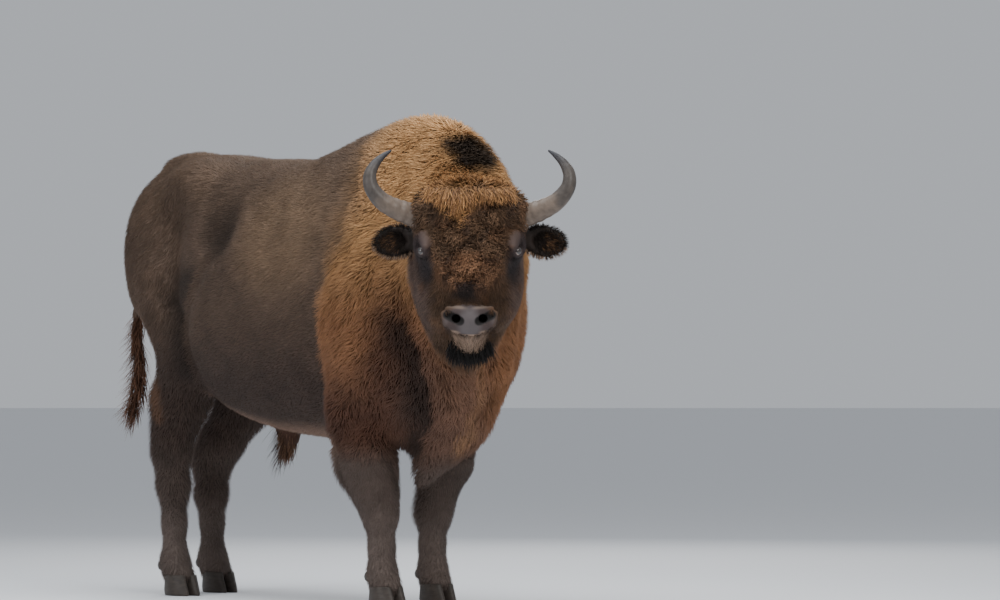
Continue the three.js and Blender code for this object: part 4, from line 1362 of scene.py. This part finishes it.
def add_horn(name, side, material):
    """Horn with rings near its root, dark at the tip."""
    steps, sides = 90, 32
    share = np.linspace(0.0, 1.0, steps)
    spot = spline(HORN, share)
    centre = np.array([facing(side * out, up, forward) for out, up, forward in spot[:, :3]])
    rings_near_root = 0.0010 * np.sin(share * 95.0) * smooth(0.50, 0.15, share)
    radius = spot[:, 3] + rings_near_root + 0.0005 * noise(centre, 0.020, 21)
    way = unit(np.gradient(centre, axis=0))
    first = unit(np.cross(way, HEADING))
    second = np.cross(way, first)
    cos, sin = circle(sides)
    round_it = cos[:, :, None] * first[:, None] + sin[:, :, None] * second[:, None]
    points = (centre[:, None] + radius[:, None, None] * round_it).reshape(-1, 3)
    points = np.vstack((points, centre[:1], centre[-1:] + way[-1:] * 0.004))
    t = np.append(np.repeat(share, sides), (0.0, 1.0))
    hue = tinted(
        colour(106, 93, 83),
        (colour(74, 68, 64), smooth(0.28, 0.50, t + 0.10 * noise(points, 0.03, 22))),
        (colour(52, 52, 56), smooth(0.62, 0.95, t)),
    )
    grain = 1.0 + 0.22 * noise(points, 0.010, 23) + 0.15 * noise(points, 0.004, 24)
    horn = painted(f"fine_horn_{name}", points, tube_faces(steps, sides), hue * grain[:, None], material)
    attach(horn, "root")
    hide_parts(f"horn_{name}")


def add_eye(name, side, material):
    """Globe with a dark iris, a long level pupil and a little of the white."""
    bm = bmesh.new()
    bmesh.ops.create_uvsphere(bm, u_segments=48, v_segments=32, radius=1.0)
    ball = np.array([v.co for v in bm.verts])
    bmesh.ops.triangulate(bm, faces=bm.faces[:])
    corners = np.array([[v.index for v in face.verts] for face in bm.faces])
    bm.free()
    x, y, z = ball.T
    bulge = np.where(z > 0.80, 1.0 + 0.25 * (z - 0.80), 1.0)
    place = EYE_CENTRE + (ball * bulge[:, None] * EYE["radius"]) @ EYE_AXES
    place[:, 1] *= side
    off = np.hypot(x, y)
    hue = tinted(
        colour(46, 31, 23),
        (colour(24, 17, 14), smooth(0.45, 0.60, off)),
        (colour(120, 102, 92), smooth(0.72, 0.80, off) + (z < 0)),
        (colour(6, 6, 8), (z > 0) & (np.hypot(x / 0.34, y / 0.17) < 1.0)),
    )
    eye = painted(f"globe_{name}", from_head(place), corners if side > 0 else corners[:, ::-1], hue, material)
    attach(eye, "root")
    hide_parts(f"eye_{name}")


CLAW = dict(
    z=[0.0, 0.024, 0.0776],
    front=[0.084, 0.074, 0.050],
    rear=[-0.056, -0.058, -0.050],
    half=[0.029, 0.031, 0.029],
)
CLAW_AHEAD = dict(fore=0.030, hind=0.048)
CLAW_SPREAD = 0.031


def add_claw(where, name, place, material):
    """One claw of a cloven hoof: a loft with a rounded edge, ridged along its growth."""
    foot = FEET[f"{where}_{name}"]
    across = foot["side"] * CLAW_SPREAD * (1 if place == "outer" else -1)
    steps, sides = 22, 40
    z = np.linspace(0.0, CLAW["z"][-1], steps)
    front, rear, half = (np.interp(z, CLAW["z"], CLAW[key]) for key in ("front", "rear", "half"))
    worn = 0.0035 * smooth(0.006, 0.0, z)
    c, s = circle(sides)
    toe = np.maximum(c, 0.0) ** 2
    ridge = (0.0006 * np.sin(z * 900.0) - worn)[:, None]
    long = ((front + rear) / 2)[:, None] + ((front - rear) / 2)[:, None] * c + ridge * c
    wide = across + (half[:, None] + ridge) * s * (1.0 - 0.3 * toe) - np.sign(across) * 0.008 * toe
    rings = (foot["x"] + CLAW_AHEAD[where] + long, foot["side"] * foot["y"] + wide, z[:, None])
    points = np.stack(np.broadcast_arrays(*rings), -1).reshape(-1, 3)
    points = np.vstack((points, points[:sides].mean(axis=0), points[-sides:].mean(axis=0)))
    tone = 1.0 + 0.35 * noise(points * (1, 1, 3.0), 0.012, 51)
    hue = colour(62, 55, 50) * tone[:, None]
    claw = painted(f"claw_{where}_{name}_{place}", points, tube_faces(steps, sides), hue, material)
    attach(claw, "root")
    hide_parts(f"hoof_{where}_{name}_{place}")


def hoof_material():
    """Streaked dark horn, for the dewclaws."""
    material, nodes, links, shader = plain_material("hoof", 0.45)
    grain = nodes.new("ShaderNodeTexNoise")
    grain.inputs["Scale"].default_value = 40.0
    grain.inputs["Detail"].default_value = 6.0
    ramp = nodes.new("ShaderNodeValToRGB")
    ramp.color_ramp.elements[0].color = (0.022, 0.020, 0.019, 1.0)
    ramp.color_ramp.elements[1].color = (0.085, 0.074, 0.066, 1.0)
    links.new(grain.outputs["Fac"], ramp.inputs["Fac"])
    links.new(ramp.outputs["Color"], shader.inputs["Base Color"])
    return material


def add_small_pieces():
    horn = coat_material("horn", 0.38)
    eye = coat_material("eye", 0.06)
    shader = eye.node_tree.nodes["Principled BSDF"]
    shader.inputs["Specular IOR Level"].default_value = 0.6
    shader.inputs["Coat Weight"].default_value = 1.0
    shader.inputs["Coat Roughness"].default_value = 0.03
    for name, side in SIDES.items():
        add_horn(name, side, horn)
        add_eye(name, side, eye)
    claw = coat_material("claw", 0.45)
    for where in ("fore", "hind"):
        for name in SIDES:
            for place in ("inner", "outer"):
                add_claw(where, name, place, claw)
    hoof = hoof_material()
    for name, node in frame["nodes"].items():
        if name.startswith("dewclaw_"):
            node.data.materials.clear()
            node.data.materials.append(hoof)


add_camera()
add_studio()
add_floor()
skin = build_skin()
skin_at = Place(vertices_of(skin.data))
# Painted shade: where the coat covers it, the skin is painted darker than the coat's colours; bare skin keeps
# them in full.
paint(skin, markings(skin_at) * mix(0.6, 1.0, skin_at.bare)[:, None])
skin.data.materials.append(coat_material("skin", 0.70))
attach(skin, "root")
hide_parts(*[n for n in frame["nodes"] if not n.startswith(NOT_SKIN)])
add_small_pieces()
add_coat(triangles_of(skin))
